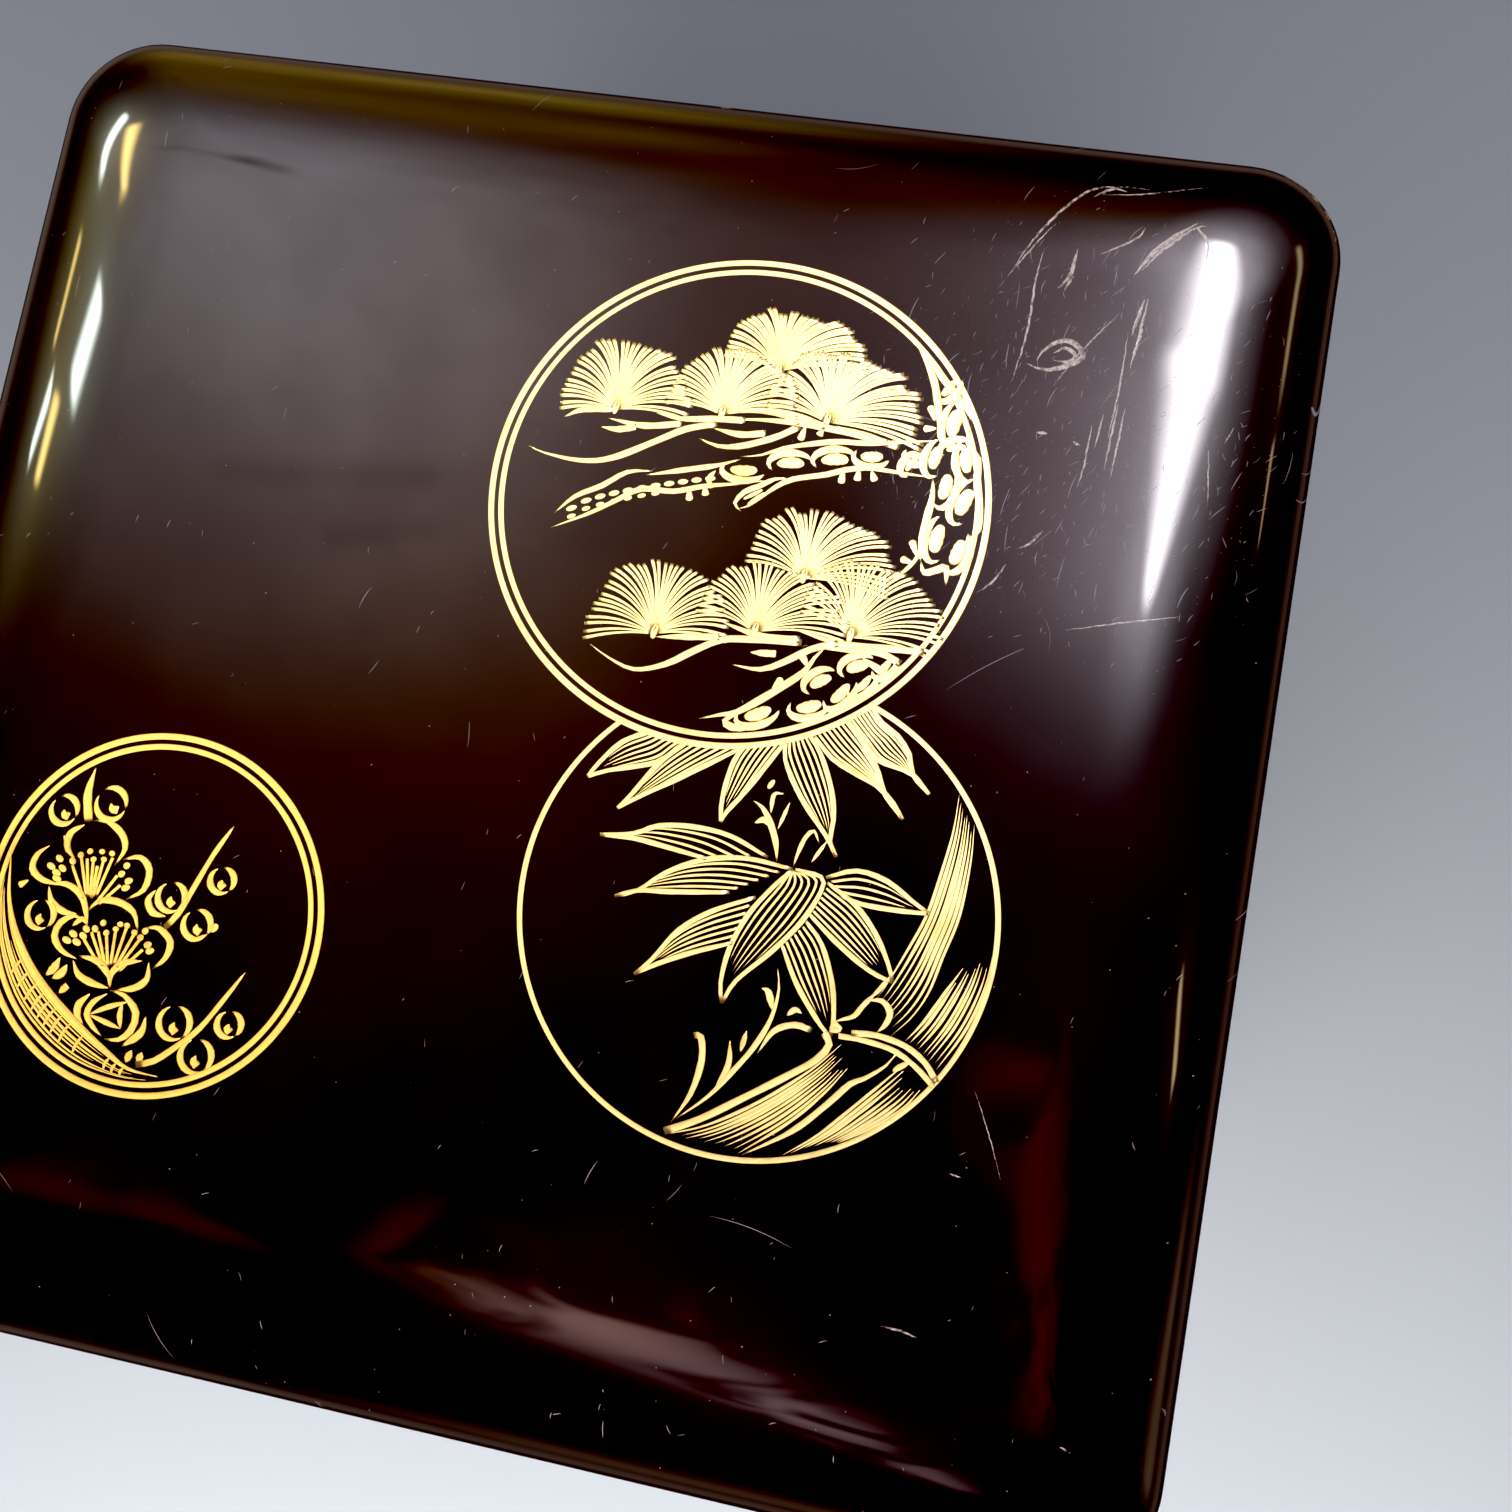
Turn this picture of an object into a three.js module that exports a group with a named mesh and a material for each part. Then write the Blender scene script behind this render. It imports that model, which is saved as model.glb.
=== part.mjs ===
// A tiered food box of lacquered wood: three square tiers stacked under one lid with a softly crowned top.
// Millimetres, +Z up. The origin is the centre of the footprint, on the surface that the box stands on.
import * as THREE from "three";

// Plan shared by the lid and every tier
const boxSide = 195; // outer side of the square plan
const cornerRadius = 14; // outer corners, seen from above
const tightestCorner = 1.5; // smallest corner radius of any edge inside

// Tiers
const tierNames = ["lower_tier", "middle_tier", "upper_tier"];
const tierHeight = 54; // from a tier's lower edge to its rim
const wallThickness = 4.5;
const floorThickness = 5;
const floorFillet = 5; // inside, where the wall runs into the floor
const footDepth = 4.5; // the inset foot, which drops into the mouth below
const footWidth = 8;
const footRecess = 1.8; // the floor's underside lies this far above the foot's
const edgeRound = 1.2; // rims and lower edges

// Lid
const lidWall = 12; // upright part of the lid's side
const shoulderRun = 26; // how far in the shoulder reaches from the side
const shoulderRise = 8.5;
const shoulderFullness = 2.6; // higher is flatter on top and rounder at the side
const crownRise = 2.5; // the middle of the top above its edge
const lidBoard = 4.5; // thickness of the top
const lipDepth = 5; // the lip that drops into the upper tier's mouth
const lipWidth = 3.5;
const lipRound = 0.8;

// Fits
const mouthClearance = 0.6; // round a foot or the lip, inside the mouth that takes it
const restGap = 0.3; // between two faces that rest on each other

// How finely the round forms are cut into flat faces
const cornerSteps = 8;
const edgeSteps = 2;
const filletSteps = 3;
const shoulderSteps = 8;
const crownRings = 4;
const crownSideSteps = 4;

const half = boxSide / 2;
const mouthInset = wallThickness + mouthClearance;

// One closed outline round the box, at a level. A straight side is cut into sideSteps lengths.
function outline(inset, radius, sideSteps) {
  const reach = half - inset;
  const straight = reach - radius;
  const points = [];
  for (let corner = 0; corner < 4; corner += 1) {
    const start = (corner * Math.PI) / 2;
    const centre = new THREE.Vector2(straight, straight).rotateAround(new THREE.Vector2(), start);
    for (let step = 0; step <= cornerSteps; step += 1) {
      const angle = start + (step / cornerSteps) * (Math.PI / 2);
      points.push(new THREE.Vector2(centre.x + radius * Math.cos(angle), centre.y + radius * Math.sin(angle)));
    }
    const along = new THREE.Vector2(-2 * straight, 0).rotateAround(new THREE.Vector2(), start);
    const from = points[points.length - 1];
    for (let step = 1; step < sideSteps; step += 1) {
      points.push(from.clone().addScaledVector(along, step / sideSteps));
    }
  }
  return points;
}

// A ring of the side, the foot or the inside: its corners keep the same centres as the outer ones.
function wallRing(inset, height, sideSteps = 1) {
  const radius = Math.max(cornerRadius - inset, tightestCorner);
  return outline(inset, radius, sideSteps).map((p) => new THREE.Vector3(p.x, p.y, height));
}

// How large the outer plan is, as a share of full size, when its edge runs through a point.
function planShare(x, y) {
  const across = Math.abs(x);
  const deep = Math.abs(y);
  const centre = half - cornerRadius;
  const side = Math.max(across, deep) / half;
  if (Math.min(across, deep) <= side * centre) {
    return side;
  }
  const a = 2 * centre * centre - cornerRadius * cornerRadius;
  const b = centre * (across + deep);
  const c = across * across + deep * deep;
  return (b - Math.sqrt(Math.max(b * b - a * c, 0))) / a;
}

// Height of the lid's outer top above the lid's lower edge: a shoulder all round, then a low crown.
function lidTop(x, y) {
  const inset = (1 - planShare(x, y)) * half;
  const left = Math.max(1 - inset / shoulderRun, 0);
  const shoulder = Math.sqrt(Math.max(1 - left ** shoulderFullness, 0));
  const crown = (1 - (x / half) ** 2) * (1 - (y / half) ** 2);
  return lidWall + shoulderRise * shoulder + crownRise * crown;
}

// A ring on the lid's top: the outer plan made smaller about its centre.
function topRing(inset) {
  const radius = cornerRadius * (1 - inset / half);
  const flat = outline(inset, radius, crownSideSteps);
  return flat.map((p) => new THREE.Vector3(p.x, p.y, lidTop(p.x, p.y)));
}

// A ring on the lid's ceiling, one board's thickness under the top.
function ceilingRing(inset) {
  return wallRing(inset, 0, crownSideSteps).map((p) => p.setZ(lidTop(p.x, p.y) - lidBoard));
}

// Points of a quarter round in a wall's section, as pairs of inset and height.
function quarter(insetCentre, heightCentre, radius, startAngle, endAngle, steps) {
  const points = [];
  for (let step = 0; step <= steps; step += 1) {
    const angle = startAngle + (step / steps) * (endAngle - startAngle);
    points.push([insetCentre + radius * Math.cos(angle), heightCentre + radius * Math.sin(angle)]);
  }
  return points;
}

// Closes a stack of rings into one solid: a point in the middle below, the rings in turn, a point above.
function closedLoft(firstHeight, rings, lastHeight) {
  const count = rings[0].length;
  const positions = [0, 0, firstHeight];
  rings.forEach((ring) => ring.forEach((p) => positions.push(p.x, p.y, p.z)));
  positions.push(0, 0, lastHeight);
  const last = rings.length * count + 1;
  const faces = [];
  for (let i = 0; i < count; i += 1) {
    const next = (i + 1) % count;
    faces.push(0, 1 + next, 1 + i);
    for (let k = 0; k < rings.length - 1; k += 1) {
      const low = 1 + k * count;
      const high = low + count;
      faces.push(low + i, low + next, high + next);
      faces.push(low + i, high + next, high + i);
    }
    const top = 1 + (rings.length - 1) * count;
    faces.push(top + i, top + next, last);
  }
  const geometry = new THREE.BufferGeometry();
  geometry.setAttribute("position", new THREE.Float32BufferAttribute(positions, 3));
  geometry.setIndex(faces);
  geometry.computeVertexNormals();
  return geometry;
}

// A tier stands here with its lower edge at height 0, so its foot reaches below.
function tierGeometry() {
  const footOuter = mouthInset;
  const footInner = mouthInset + footWidth;
  const footSole = -footDepth;
  const floorUnder = footSole + footRecess;
  const floorTop = floorUnder + floorThickness;
  const turn = Math.PI / 2;
  const section = [
    [footInner, floorUnder],
    [footInner, footSole],
    ...quarter(footOuter + edgeRound, footSole + edgeRound, edgeRound, -turn, -2 * turn, edgeSteps),
    [footOuter, 0],
    ...quarter(edgeRound, edgeRound, edgeRound, -turn, -2 * turn, edgeSteps),
    ...quarter(edgeRound, tierHeight - edgeRound, edgeRound, 2 * turn, turn, edgeSteps),
    ...quarter(wallThickness - edgeRound, tierHeight - edgeRound, edgeRound, turn, 0, edgeSteps),
    ...quarter(wallThickness + floorFillet, floorTop + floorFillet, floorFillet, -2 * turn, -turn, filletSteps),
  ];
  const rings = section.map(([inset, height]) => wallRing(inset, height));
  return closedLoft(floorUnder, rings, floorTop);
}

// The lid stands here with its lower edge at height 0, so its lip reaches below.
function lidGeometry() {
  const lipOuter = mouthInset;
  const lipInner = mouthInset + lipWidth;
  const turn = Math.PI / 2;
  const ceiling = [];
  const shoulderEnd = Math.max(shoulderRun, lipInner);
  for (let k = 1; k <= crownRings; k += 1) {
    ceiling.push(half + (k / crownRings) * (shoulderEnd - half));
  }
  for (let k = 1; k <= crownRings; k += 1) {
    ceiling.push(shoulderEnd + (k / crownRings) * (lipInner - shoulderEnd));
  }
  const side = [
    ...quarter(lipInner - lipRound, lipRound - lipDepth, lipRound, 0, -turn, edgeSteps),
    ...quarter(lipOuter + lipRound, lipRound - lipDepth, lipRound, -turn, -2 * turn, edgeSteps),
    [lipOuter, 0],
    ...quarter(edgeRound, edgeRound, edgeRound, -turn, -2 * turn, edgeSteps),
  ];
  const top = [];
  for (let k = 0; k <= shoulderSteps; k += 1) {
    top.push(shoulderRun * (1 - Math.cos((k / shoulderSteps) * turn)));
  }
  for (let k = 1; k < crownRings; k += 1) {
    top.push(shoulderRun + (k / crownRings) * (half - shoulderRun));
  }
  const rings = [
    ...ceiling.map(ceilingRing),
    ...side.map(([inset, height]) => wallRing(inset, height, crownSideSteps)),
    ...top.map(topRing),
  ];
  return closedLoft(lidTop(0, 0) - lidBoard, rings, lidTop(0, 0));
}

function lacquer(name) {
  return new THREE.MeshStandardMaterial({ name, color: 0x140705, roughness: 0.12, metalness: 0 });
}

const box = new THREE.Group();
tierNames.forEach((name, storey) => {
  const tier = new THREE.Mesh(tierGeometry(), lacquer(`${name}_lacquer`));
  tier.name = name;
  tier.position.z = footDepth + storey * (tierHeight + restGap);
  box.add(tier);
});

const lid = new THREE.Mesh(lidGeometry(), lacquer("lid_lacquer"));
lid.name = "lid";
lid.position.z = footDepth + tierNames.length * (tierHeight + restGap);
box.add(lid);

export default box;
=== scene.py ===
# %% [markdown]
# # A lacquered food box in three tiers
#
# The real thing is a square box of thin boards under many coats of deep brown-black lacquer. Three shallow
# tiers stand on each other, and one lid closes the top one. The lid is softly pillowed, and its top carries
# three engraved roundels rubbed with gold: pine, bamboo and plum blossom.
#
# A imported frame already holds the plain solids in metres. This script dresses them: it repeats their shape
# with finer meshes, lays the engraved gold on the lid, and gives every surface its worn gloss.

# %% Load the fixed frame
import math
import random

import bpy
import numpy as np
from mathutils import Matrix, Vector


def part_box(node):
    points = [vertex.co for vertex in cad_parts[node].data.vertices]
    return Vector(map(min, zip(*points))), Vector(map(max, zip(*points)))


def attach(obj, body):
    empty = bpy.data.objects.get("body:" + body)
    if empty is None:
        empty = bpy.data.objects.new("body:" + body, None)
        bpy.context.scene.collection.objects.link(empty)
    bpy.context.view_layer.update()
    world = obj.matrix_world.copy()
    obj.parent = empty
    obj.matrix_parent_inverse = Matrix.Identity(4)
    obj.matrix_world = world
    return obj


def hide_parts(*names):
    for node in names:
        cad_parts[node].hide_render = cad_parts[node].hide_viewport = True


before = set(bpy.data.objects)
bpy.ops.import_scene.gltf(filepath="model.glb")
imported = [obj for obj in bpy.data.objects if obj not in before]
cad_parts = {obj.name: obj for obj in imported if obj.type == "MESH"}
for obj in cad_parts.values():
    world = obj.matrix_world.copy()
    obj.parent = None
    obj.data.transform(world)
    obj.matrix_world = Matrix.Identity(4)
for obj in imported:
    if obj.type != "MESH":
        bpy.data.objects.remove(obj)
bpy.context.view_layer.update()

print("nodes in the frame:", sorted(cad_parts))

# %% [markdown]
# ## The sizes that everything shares
#
# A joiner works from a few sizes: the side of the square, the corner, the wall, the foot. The outer side
# and the levels are read from the frame, so that the fine meshes land where the plain solids are. The rest
# are the sizes of the section, in metres.

# %% Sizes of the plan and of the sections
MM = 0.001
tier_names = ["lower_tier", "middle_tier", "upper_tier"]
lid_low, lid_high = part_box("lid")
half = lid_high.x
corner_radius = 14 * MM
tightest_corner = 1.5 * MM
edge_round = 1.2 * MM

wall_thickness = 4.5 * MM
tier_height = 54 * MM
floor_thickness = 5 * MM
floor_fillet = 5 * MM
foot_depth = 4.5 * MM
foot_width = 8 * MM
foot_recess = 1.8 * MM
mouth_inset = 5.1 * MM

lid_wall = 12 * MM
shoulder_run = 26 * MM
shoulder_rise = 8.5 * MM
shoulder_fullness = 2.6
crown_rise = 2.5 * MM
lid_board = 4.5 * MM
lip_depth = 5 * MM
lip_width = 3.5 * MM
lip_round = 0.8 * MM
lid_level = lid_low.z + lip_depth

print("side", round(2 * half / MM, 2), "mm, lid's lower edge at", round(lid_level / MM, 2), "mm")

# %% [markdown]
# ## The lid's top as one formula
#
# The top is a pillow: a shoulder that falls steeply at the side and flattens inwards, and a very low crown
# in the middle. Writing it as a function of x and y pays off later, because the mesh, the engraved lines,
# the scratches and the lamps' mirror images all need the same surface.

# %% Height and slope of the lid's top
def plan_share(x, y):
    """How large the outer plan is, as a share of full size, when its edge runs through a point."""
    across = np.abs(x)
    deep = np.abs(y)
    centre = half - corner_radius
    side = np.maximum(across, deep) / half
    a = 2 * centre ** 2 - corner_radius ** 2
    b = centre * (across + deep)
    c = across ** 2 + deep ** 2
    corner = (b - np.sqrt(np.maximum(b * b - a * c, 0))) / a
    return np.where(np.minimum(across, deep) <= side * centre, side, corner)


def lid_top(x, y):
    """Height of the lid's top in the frame, above a place in the plan."""
    inset = (1 - plan_share(x, y)) * half
    left = np.clip(1 - inset / shoulder_run, 0, 1)
    shoulder = np.sqrt(np.maximum(1 - left ** shoulder_fullness, 0))
    crown = (1 - (x / half) ** 2) * (1 - (y / half) ** 2)
    return lid_level + lid_wall + shoulder_rise * shoulder + crown_rise * crown


def lid_normal(x, y):
    """The direction that the lid's top faces at a place in the plan."""
    step = 0.02 * MM
    slope_x = (lid_top(x + step, y) - lid_top(x - step, y)) / (2 * step)
    slope_y = (lid_top(x, y + step) - lid_top(x, y - step)) / (2 * step)
    return Vector((-slope_x, -slope_y, 1)).normalized()


print("middle of the lid at", round(float(lid_top(0, 0)) / MM, 2), "mm")

# %% [markdown]
# ## The camera
#
# The picture was taken close above the lid, a little to the right of its middle, with the camera tipped and
# turned by hand. The lid's straight edges run together in the picture, and that fixes the camera's place,
# tilt and lens. A look-at helper would lose the turn, so forward and up are both given.

# %% Camera
lens_length = 33.08
sensor_side = 36
camera_place = Vector((51.92, -17.77, 374.2)) * MM
camera_forward = Vector((-0.12133, 0.09995, -0.98757)).normalized()
camera_up = Vector((-0.16645, 0.97878, 0.11951)).normalized()

camera_data = bpy.data.cameras.new("camera")
camera_data.sensor_width = sensor_side
camera_data.lens = lens_length
camera_data.clip_start = 10 * MM
camera = bpy.data.objects.new("camera", camera_data)
camera_right = camera_forward.cross(camera_up)
turn = Matrix((camera_right, camera_up, -camera_forward)).transposed().to_4x4()
camera.matrix_world = Matrix.Translation(camera_place) @ turn
bpy.context.scene.collection.objects.link(camera)
bpy.context.scene.camera = camera
print("camera stands", round((camera_place.z - lid_high.z) / MM), "mm above the lid")

# %% [markdown]
# ## Where a lamp has to hang
#
# Black lacquer shows no colour of its own to speak of. What the eye reads as its surface is the room in it.
# So each lamp is placed by the mirror law: choose the spot on the lid where its image is wanted, follow the
# camera's line of sight to that spot, turn it back off the surface, and hang the lamp out along that line.

# %% Mirror law
def mirrored(x_mm, y_mm):
    """A spot on the lid, in millimetres, and the direction that the camera sees mirrored there."""
    x = x_mm * MM
    y = y_mm * MM
    spot = Vector((x, y, float(lid_top(x, y))))
    sight = (spot - camera_place).normalized()
    normal = lid_normal(x, y)
    return spot, sight - 2 * sight.dot(normal) * normal


for x_mm, y_mm in ((76, 55), (-60, 60), (0, 0)):
    print("at", (x_mm, y_mm), "mm the lid mirrors", [round(v, 2) for v in mirrored(x_mm, y_mm)[1]])

# %% [markdown]
# ## The floor and the room's soft light
#
# The floor is plain and pale. The room is a dark studio with wide, soft glows, painted into the world by
# direction only. Each glow is a colour that fades out with the angle from its middle, which gives the
# lacquer its cloudy sheen without a hard edge anywhere.
#
# All of this is nodes, and nodes take many lines to make and join. A small class makes that short first.

# %% A short way to wire nodes
class Wiring:
    """Adds nodes to one tree and joins them. An input is a number, a colour or another node's output."""

    def __init__(self, tree):
        self.tree = tree

    def feed(self, socket, value):
        if isinstance(value, bpy.types.NodeSocket):
            self.tree.links.new(value, socket)
        else:
            socket.default_value = value

    def add(self, kind, inputs=None, **settings):
        made = self.tree.nodes.new(kind)
        for name, value in settings.items():
            setattr(made, name, value)
        for name, value in (inputs or {}).items():
            self.feed(made.inputs[name], value)
        return made

    def math(self, operation, *values, clamp=False):
        made = self.add("ShaderNodeMath", operation=operation, use_clamp=clamp)
        for place, value in enumerate(values):
            self.feed(made.inputs[place], value)
        return made.outputs[0]

    def vector(self, operation, *values):
        made = self.add("ShaderNodeVectorMath", operation=operation)
        for place, value in enumerate(values):
            self.feed(made.inputs[place], value)
        return made.outputs["Value" if operation in ("DOT_PRODUCT", "LENGTH", "DISTANCE") else "Vector"]

    def fade(self, value, low, high, to_low=0.0, to_high=1.0, smooth=True):
        kind = "SMOOTHSTEP" if smooth else "LINEAR"
        wanted = {"Value": value, "From Min": low, "From Max": high, "To Min": to_low, "To Max": to_high}
        return self.add("ShaderNodeMapRange", wanted, interpolation_type=kind).outputs["Result"]

    def blend(self, share, first, second, kind="MIX"):
        # A mix node has sockets for every type of value. These are the share and the ones for colours.
        share_socket, first_socket, second_socket, colour_result = 0, 6, 7, 2
        made = self.add("ShaderNodeMix", data_type="RGBA", blend_type=kind)
        self.feed(made.inputs[share_socket], share)
        self.feed(made.inputs[first_socket], first)
        self.feed(made.inputs[second_socket], second)
        return made.outputs[colour_result]


# %% [markdown]
# ### The floor
#
# The floor is one flat sheet, far wider than the picture needs, so that its end stays far off in views from
# low down. It has no gloss, because a second mirror image below the box would draw the eye away from it.

# %% Floor
def plain_material(name, colour, roughness):
    material = bpy.data.materials.new(name)
    material.use_nodes = True
    shader = material.node_tree.nodes["Principled BSDF"]
    shader.inputs["Base Color"].default_value = (*colour, 1)
    shader.inputs["Roughness"].default_value = roughness
    shader.inputs["Specular IOR Level"].default_value = 0.0
    return material


floor_reach = 12.0
floor_grey = (0.72, 0.74, 0.77)
floor_roughness = 0.6
floor_mesh = bpy.data.meshes.new("floor")
corners = [(-1, -1), (1, -1), (1, 1), (-1, 1)]
floor_mesh.from_pydata([(x * floor_reach, y * floor_reach, 0) for x, y in corners], [], [(0, 1, 2, 3)])
floor = bpy.data.objects.new("floor", floor_mesh)
floor_mesh.materials.append(plain_material("pale_floor", floor_grey, floor_roughness))
bpy.context.scene.collection.objects.link(floor)
print("floor reaches", floor_reach, "m each way")

# %% [markdown]
# ### The painted room
#
# A photographed surrounding could light the box too, but it would be an image of one real room. Here the
# glows are placed by the mirror law instead: two spots on the lid say where a glow's image is wanted, and
# nodes measure how near any direction comes to the line between the two mirrored ones.
#
# Three backgrounds share the world: the painted room for rays that a surface mirrors, an even soft light
# for all other rays, and a plain backdrop for the camera. They are mixed as shaders and not as colours, so
# that the painted room is only worked out for the rays that need it, and the picture is done sooner.

# %% World
room_dark = (0.020, 0.021, 0.024)
floor_fill = (0.228, 0.244, 0.278, 1)
backdrop = (0.165, 0.181, 0.212, 1)
side_sheen = (0.23, 0.18, 0.14, 1)
# How far below level, as the sine of the angle, the side walls' sheen has nothing left and where it is full
sheen_above = (0.04, 0.22)
sheen_beneath = (0.52, 0.34)
# The patchiness of the room, and the scale of the tears in its wisps
cloud_scale = 6.5
cloud_range = (0.80, 1.16)
tear_scale = 7.0

# Each glow: first and last spot on the lid in mm, half width there in degrees, fading, colour, strength.
glows = [
    ((-56, 74), (-44, 64), 34, 34, 2.7, (1.00, 0.98, 1.10), 2.15),
    ((-20, 24), (-10, 40), 32, 32, 1.4, (1.00, 0.44, 0.10), 0.60),
    ((68, 74), (68, 38), 22, 15, 1.6, (1.00, 0.78, 0.90), 1.25),
    ((80.2, 79), (77.0, 36), 17, 11, 1.4, (0.96, 0.88, 1.00), 4.2),
    ((84.0, 82), (83.5, 64), 16, 12, 1.0, (1.00, 0.88, 0.96), 1.1),
    ((-64, 93), (-30, 93), 24, 24, 1.2, (1.00, 0.68, 0.14), 0.80),
    ((-70, 88), (-12, 88), 17, 12, 1.0, (1.00, 0.66, 0.20), 0.55),
    ((0, 84), (56, 84), 22, 16, 1.0, (1.00, 0.42, 0.04), 0.30),
    ((-85, 66), (-84, 50), 20, 20, 1.3, (1.00, 0.82, 0.20), 0.65),
    ((94.4, -78), (94.4, -60), 14, 8, 1.0, (1.00, 0.72, 0.45), 0.7),
    ((20, -94), (60, -94), 12, 12, 1.0, (1.00, 0.70, 0.45), 0.35),
]
# The same for the torn, pinkish bands near the front edge.
wisps = [
    ((-60, -74), (-25, -74.6), 2.5, 3.0, 1.0, (1.00, 0.50, 0.50), 0.45),
    ((-2, -73), (22, -76), 4.0, 7.0, 1.0, (1.00, 0.50, 0.34), 1.4),
    ((22, -76), (50, -81), 7.5, 6.0, 1.0, (1.00, 0.62, 0.64), 2.1),
    ((50, -81), (74, -87), 5.0, 2.0, 1.0, (1.00, 0.66, 0.76), 1.7),
    ((73, -38), (80, -72), 6.0, 7.0, 1.0, (1.00, 0.10, 0.08), 0.75),
]
# Thin dark drifts in the grey glow: first and last spot in mm, half width in degrees, depth.
drifts = [
    ((-54, 28.5), (-23.5, 32), 1.0, 0.22),
    ((-36, 21.5), (-21.5, 24.5), 0.8, 0.20),
    ((-78, 76.5), (-62, 75.8), 0.7, 0.30),
    ((-61.5, 76.2), (-57.4, 75.4), 1.3, 0.60),
]


def nearness(w, direction, first, last, first_width, last_width):
    """Nodes that tell how near a direction comes to the line from one mirrored direction to another."""
    start = mirrored(*first)[1]
    span = mirrored(*last)[1] - start
    ahead = span / span.length_squared
    along = w.math("SUBTRACT", w.vector("DOT_PRODUCT", direction, ahead), start.dot(ahead), clamp=True)
    distance = w.vector("DISTANCE", direction, w.vector("MULTIPLY_ADD", along, span, start))
    width = math.radians(first_width)
    if last_width != first_width:
        width = w.math("MULTIPLY_ADD", along, math.radians(last_width - first_width), width)
    return w.fade(distance, width, 0.0)


def add_glow(w, room, direction, glow, kept=None):
    """Adds one glow to the room: its colour, as strong as a direction is near, where it is kept."""
    first, last, first_width, last_width, fading, colour, strength = glow
    share = nearness(w, direction, first, last, first_width, last_width)
    if fading != 1:
        share = w.math("POWER", share, fading)
    if kept:
        share = w.math("MULTIPLY", share, kept)
    return w.blend(share, room, (*(c * strength for c in colour), 1), "ADD")


def build_world():
    world = bpy.data.worlds.new("studio")
    world.use_nodes = True
    world.cycles.sampling_method = "NONE"
    bpy.context.scene.world = world
    tree = world.node_tree
    tree.nodes.clear()
    w = Wiring(tree)
    direction = w.add("ShaderNodeTexCoord").outputs["Generated"]
    room = (*room_dark, 1)
    for glow in glows:
        room = add_glow(w, room, direction, glow)
    clouds = {"Vector": direction, "Scale": cloud_scale, "Detail": 3.0, "Roughness": 0.62}
    cloudy = w.add("ShaderNodeTexNoise", clouds)
    clear = w.fade(cloudy.outputs[0], 0.32, 0.68, *cloud_range)
    for first, last, degrees, depth in drifts:
        drift = w.math("MULTIPLY", nearness(w, direction, first, last, degrees, degrees), depth)
        clear = w.math("SUBTRACT", clear, drift)
    room = w.blend(1.0, room, clear, "MULTIPLY")
    tears = {"Vector": direction, "Scale": tear_scale, "Detail": 2.0, "Distortion": 1.2}
    torn = w.add("ShaderNodeTexNoise", tears)
    kept = w.fade(torn.outputs[0], 0.42, 0.60)
    for glow in wisps:
        room = add_glow(w, room, direction, glow, kept)
    below = w.math("MULTIPLY", w.add("ShaderNodeSeparateXYZ", {"Vector": direction}).outputs["Z"], -1.0)
    sheen = w.math("MULTIPLY", w.fade(below, *sheen_above), w.fade(below, *sheen_beneath))
    room = w.blend(sheen, room, side_sheen)
    rays = w.add("ShaderNodeLightPath").outputs
    mirrored_room = w.add("ShaderNodeBackground", {"Color": room}).outputs[0]
    soft_light = w.add("ShaderNodeBackground", {"Color": floor_fill}).outputs[0]
    plain_back = w.add("ShaderNodeBackground", {"Color": backdrop}).outputs[0]
    lighting = w.add("ShaderNodeMixShader", {0: rays["Is Glossy Ray"], 1: soft_light, 2: mirrored_room})
    seen = w.add("ShaderNodeMixShader", {0: rays["Is Camera Ray"], 1: lighting.outputs[0], 2: plain_back})
    w.add("ShaderNodeOutputWorld", {"Surface": seen.outputs[0]})
    return len(glows) + len(wisps)


print("glows in the room:", build_world())

# %% [markdown]
# ## Lamps
#
# Long thin lamps are there for their mirror images only: the white-hot streak on the right shoulder, the
# small white and yellow strips on the left one, and the thin tan lines at the right edge. A plain lamp has
# hard edges, so each is given soft ones: its brightness falls from its middle line to its long sides and
# dies away at its ends, and it may narrow towards one end.
#
# One wide lamp low in front lights the floor, brighter at the front than at the back. It is kept out of the
# lacquer's mirror image, as a photographer would flag it off with a black card.

# %% Lamps
lamp_distance = 1.2
rightwards = Vector((1, 0, 0))


def area_lamp(name, place, toward, along, length, width, radiance, colour):
    """A rectangular lamp at a place, facing a point, its long side along a direction."""
    data = bpy.data.lights.new(name, "AREA")
    data.shape = "RECTANGLE"
    data.size = length
    data.size_y = width
    data.color = colour
    data.energy = radiance * math.pi * length * width
    lamp = bpy.data.objects.new(name, data)
    back = (place - toward).normalized()
    side = (along - along.dot(back) * back).normalized()
    turned = Matrix((side, back.cross(side), back)).transposed().to_4x4()
    lamp.matrix_world = Matrix.Translation(place) @ turned
    lamp.visible_camera = False
    bpy.context.scene.collection.objects.link(lamp)
    return lamp


def soften(lamp, first_width, last_width):
    """Lets a lamp's brightness fall to its long sides. Widths are shares of its own, at its two ends."""
    lamp.data.use_nodes = True
    tree = lamp.data.node_tree
    w = Wiring(tree)
    place = w.add("ShaderNodeSeparateXYZ", {"Vector": w.add("ShaderNodeNewGeometry").outputs["Parametric"]})
    along = place.outputs["X"]
    aside = w.math("ABSOLUTE", w.math("SUBTRACT", w.math("MULTIPLY", place.outputs["Y"], 2.0), 1.0))
    width = w.fade(along, 0.0, 1.0, first_width, last_width, smooth=False)
    across = w.fade(aside, 0.0, width, 1.0, 0.0)
    ends = w.math("MULTIPLY", w.fade(along, 0.0, 0.12), w.fade(along, 1.0, 0.85))
    emission = tree.nodes["Emission"]
    w.feed(emission.inputs["Strength"], w.math("MULTIPLY", across, ends))


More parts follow.
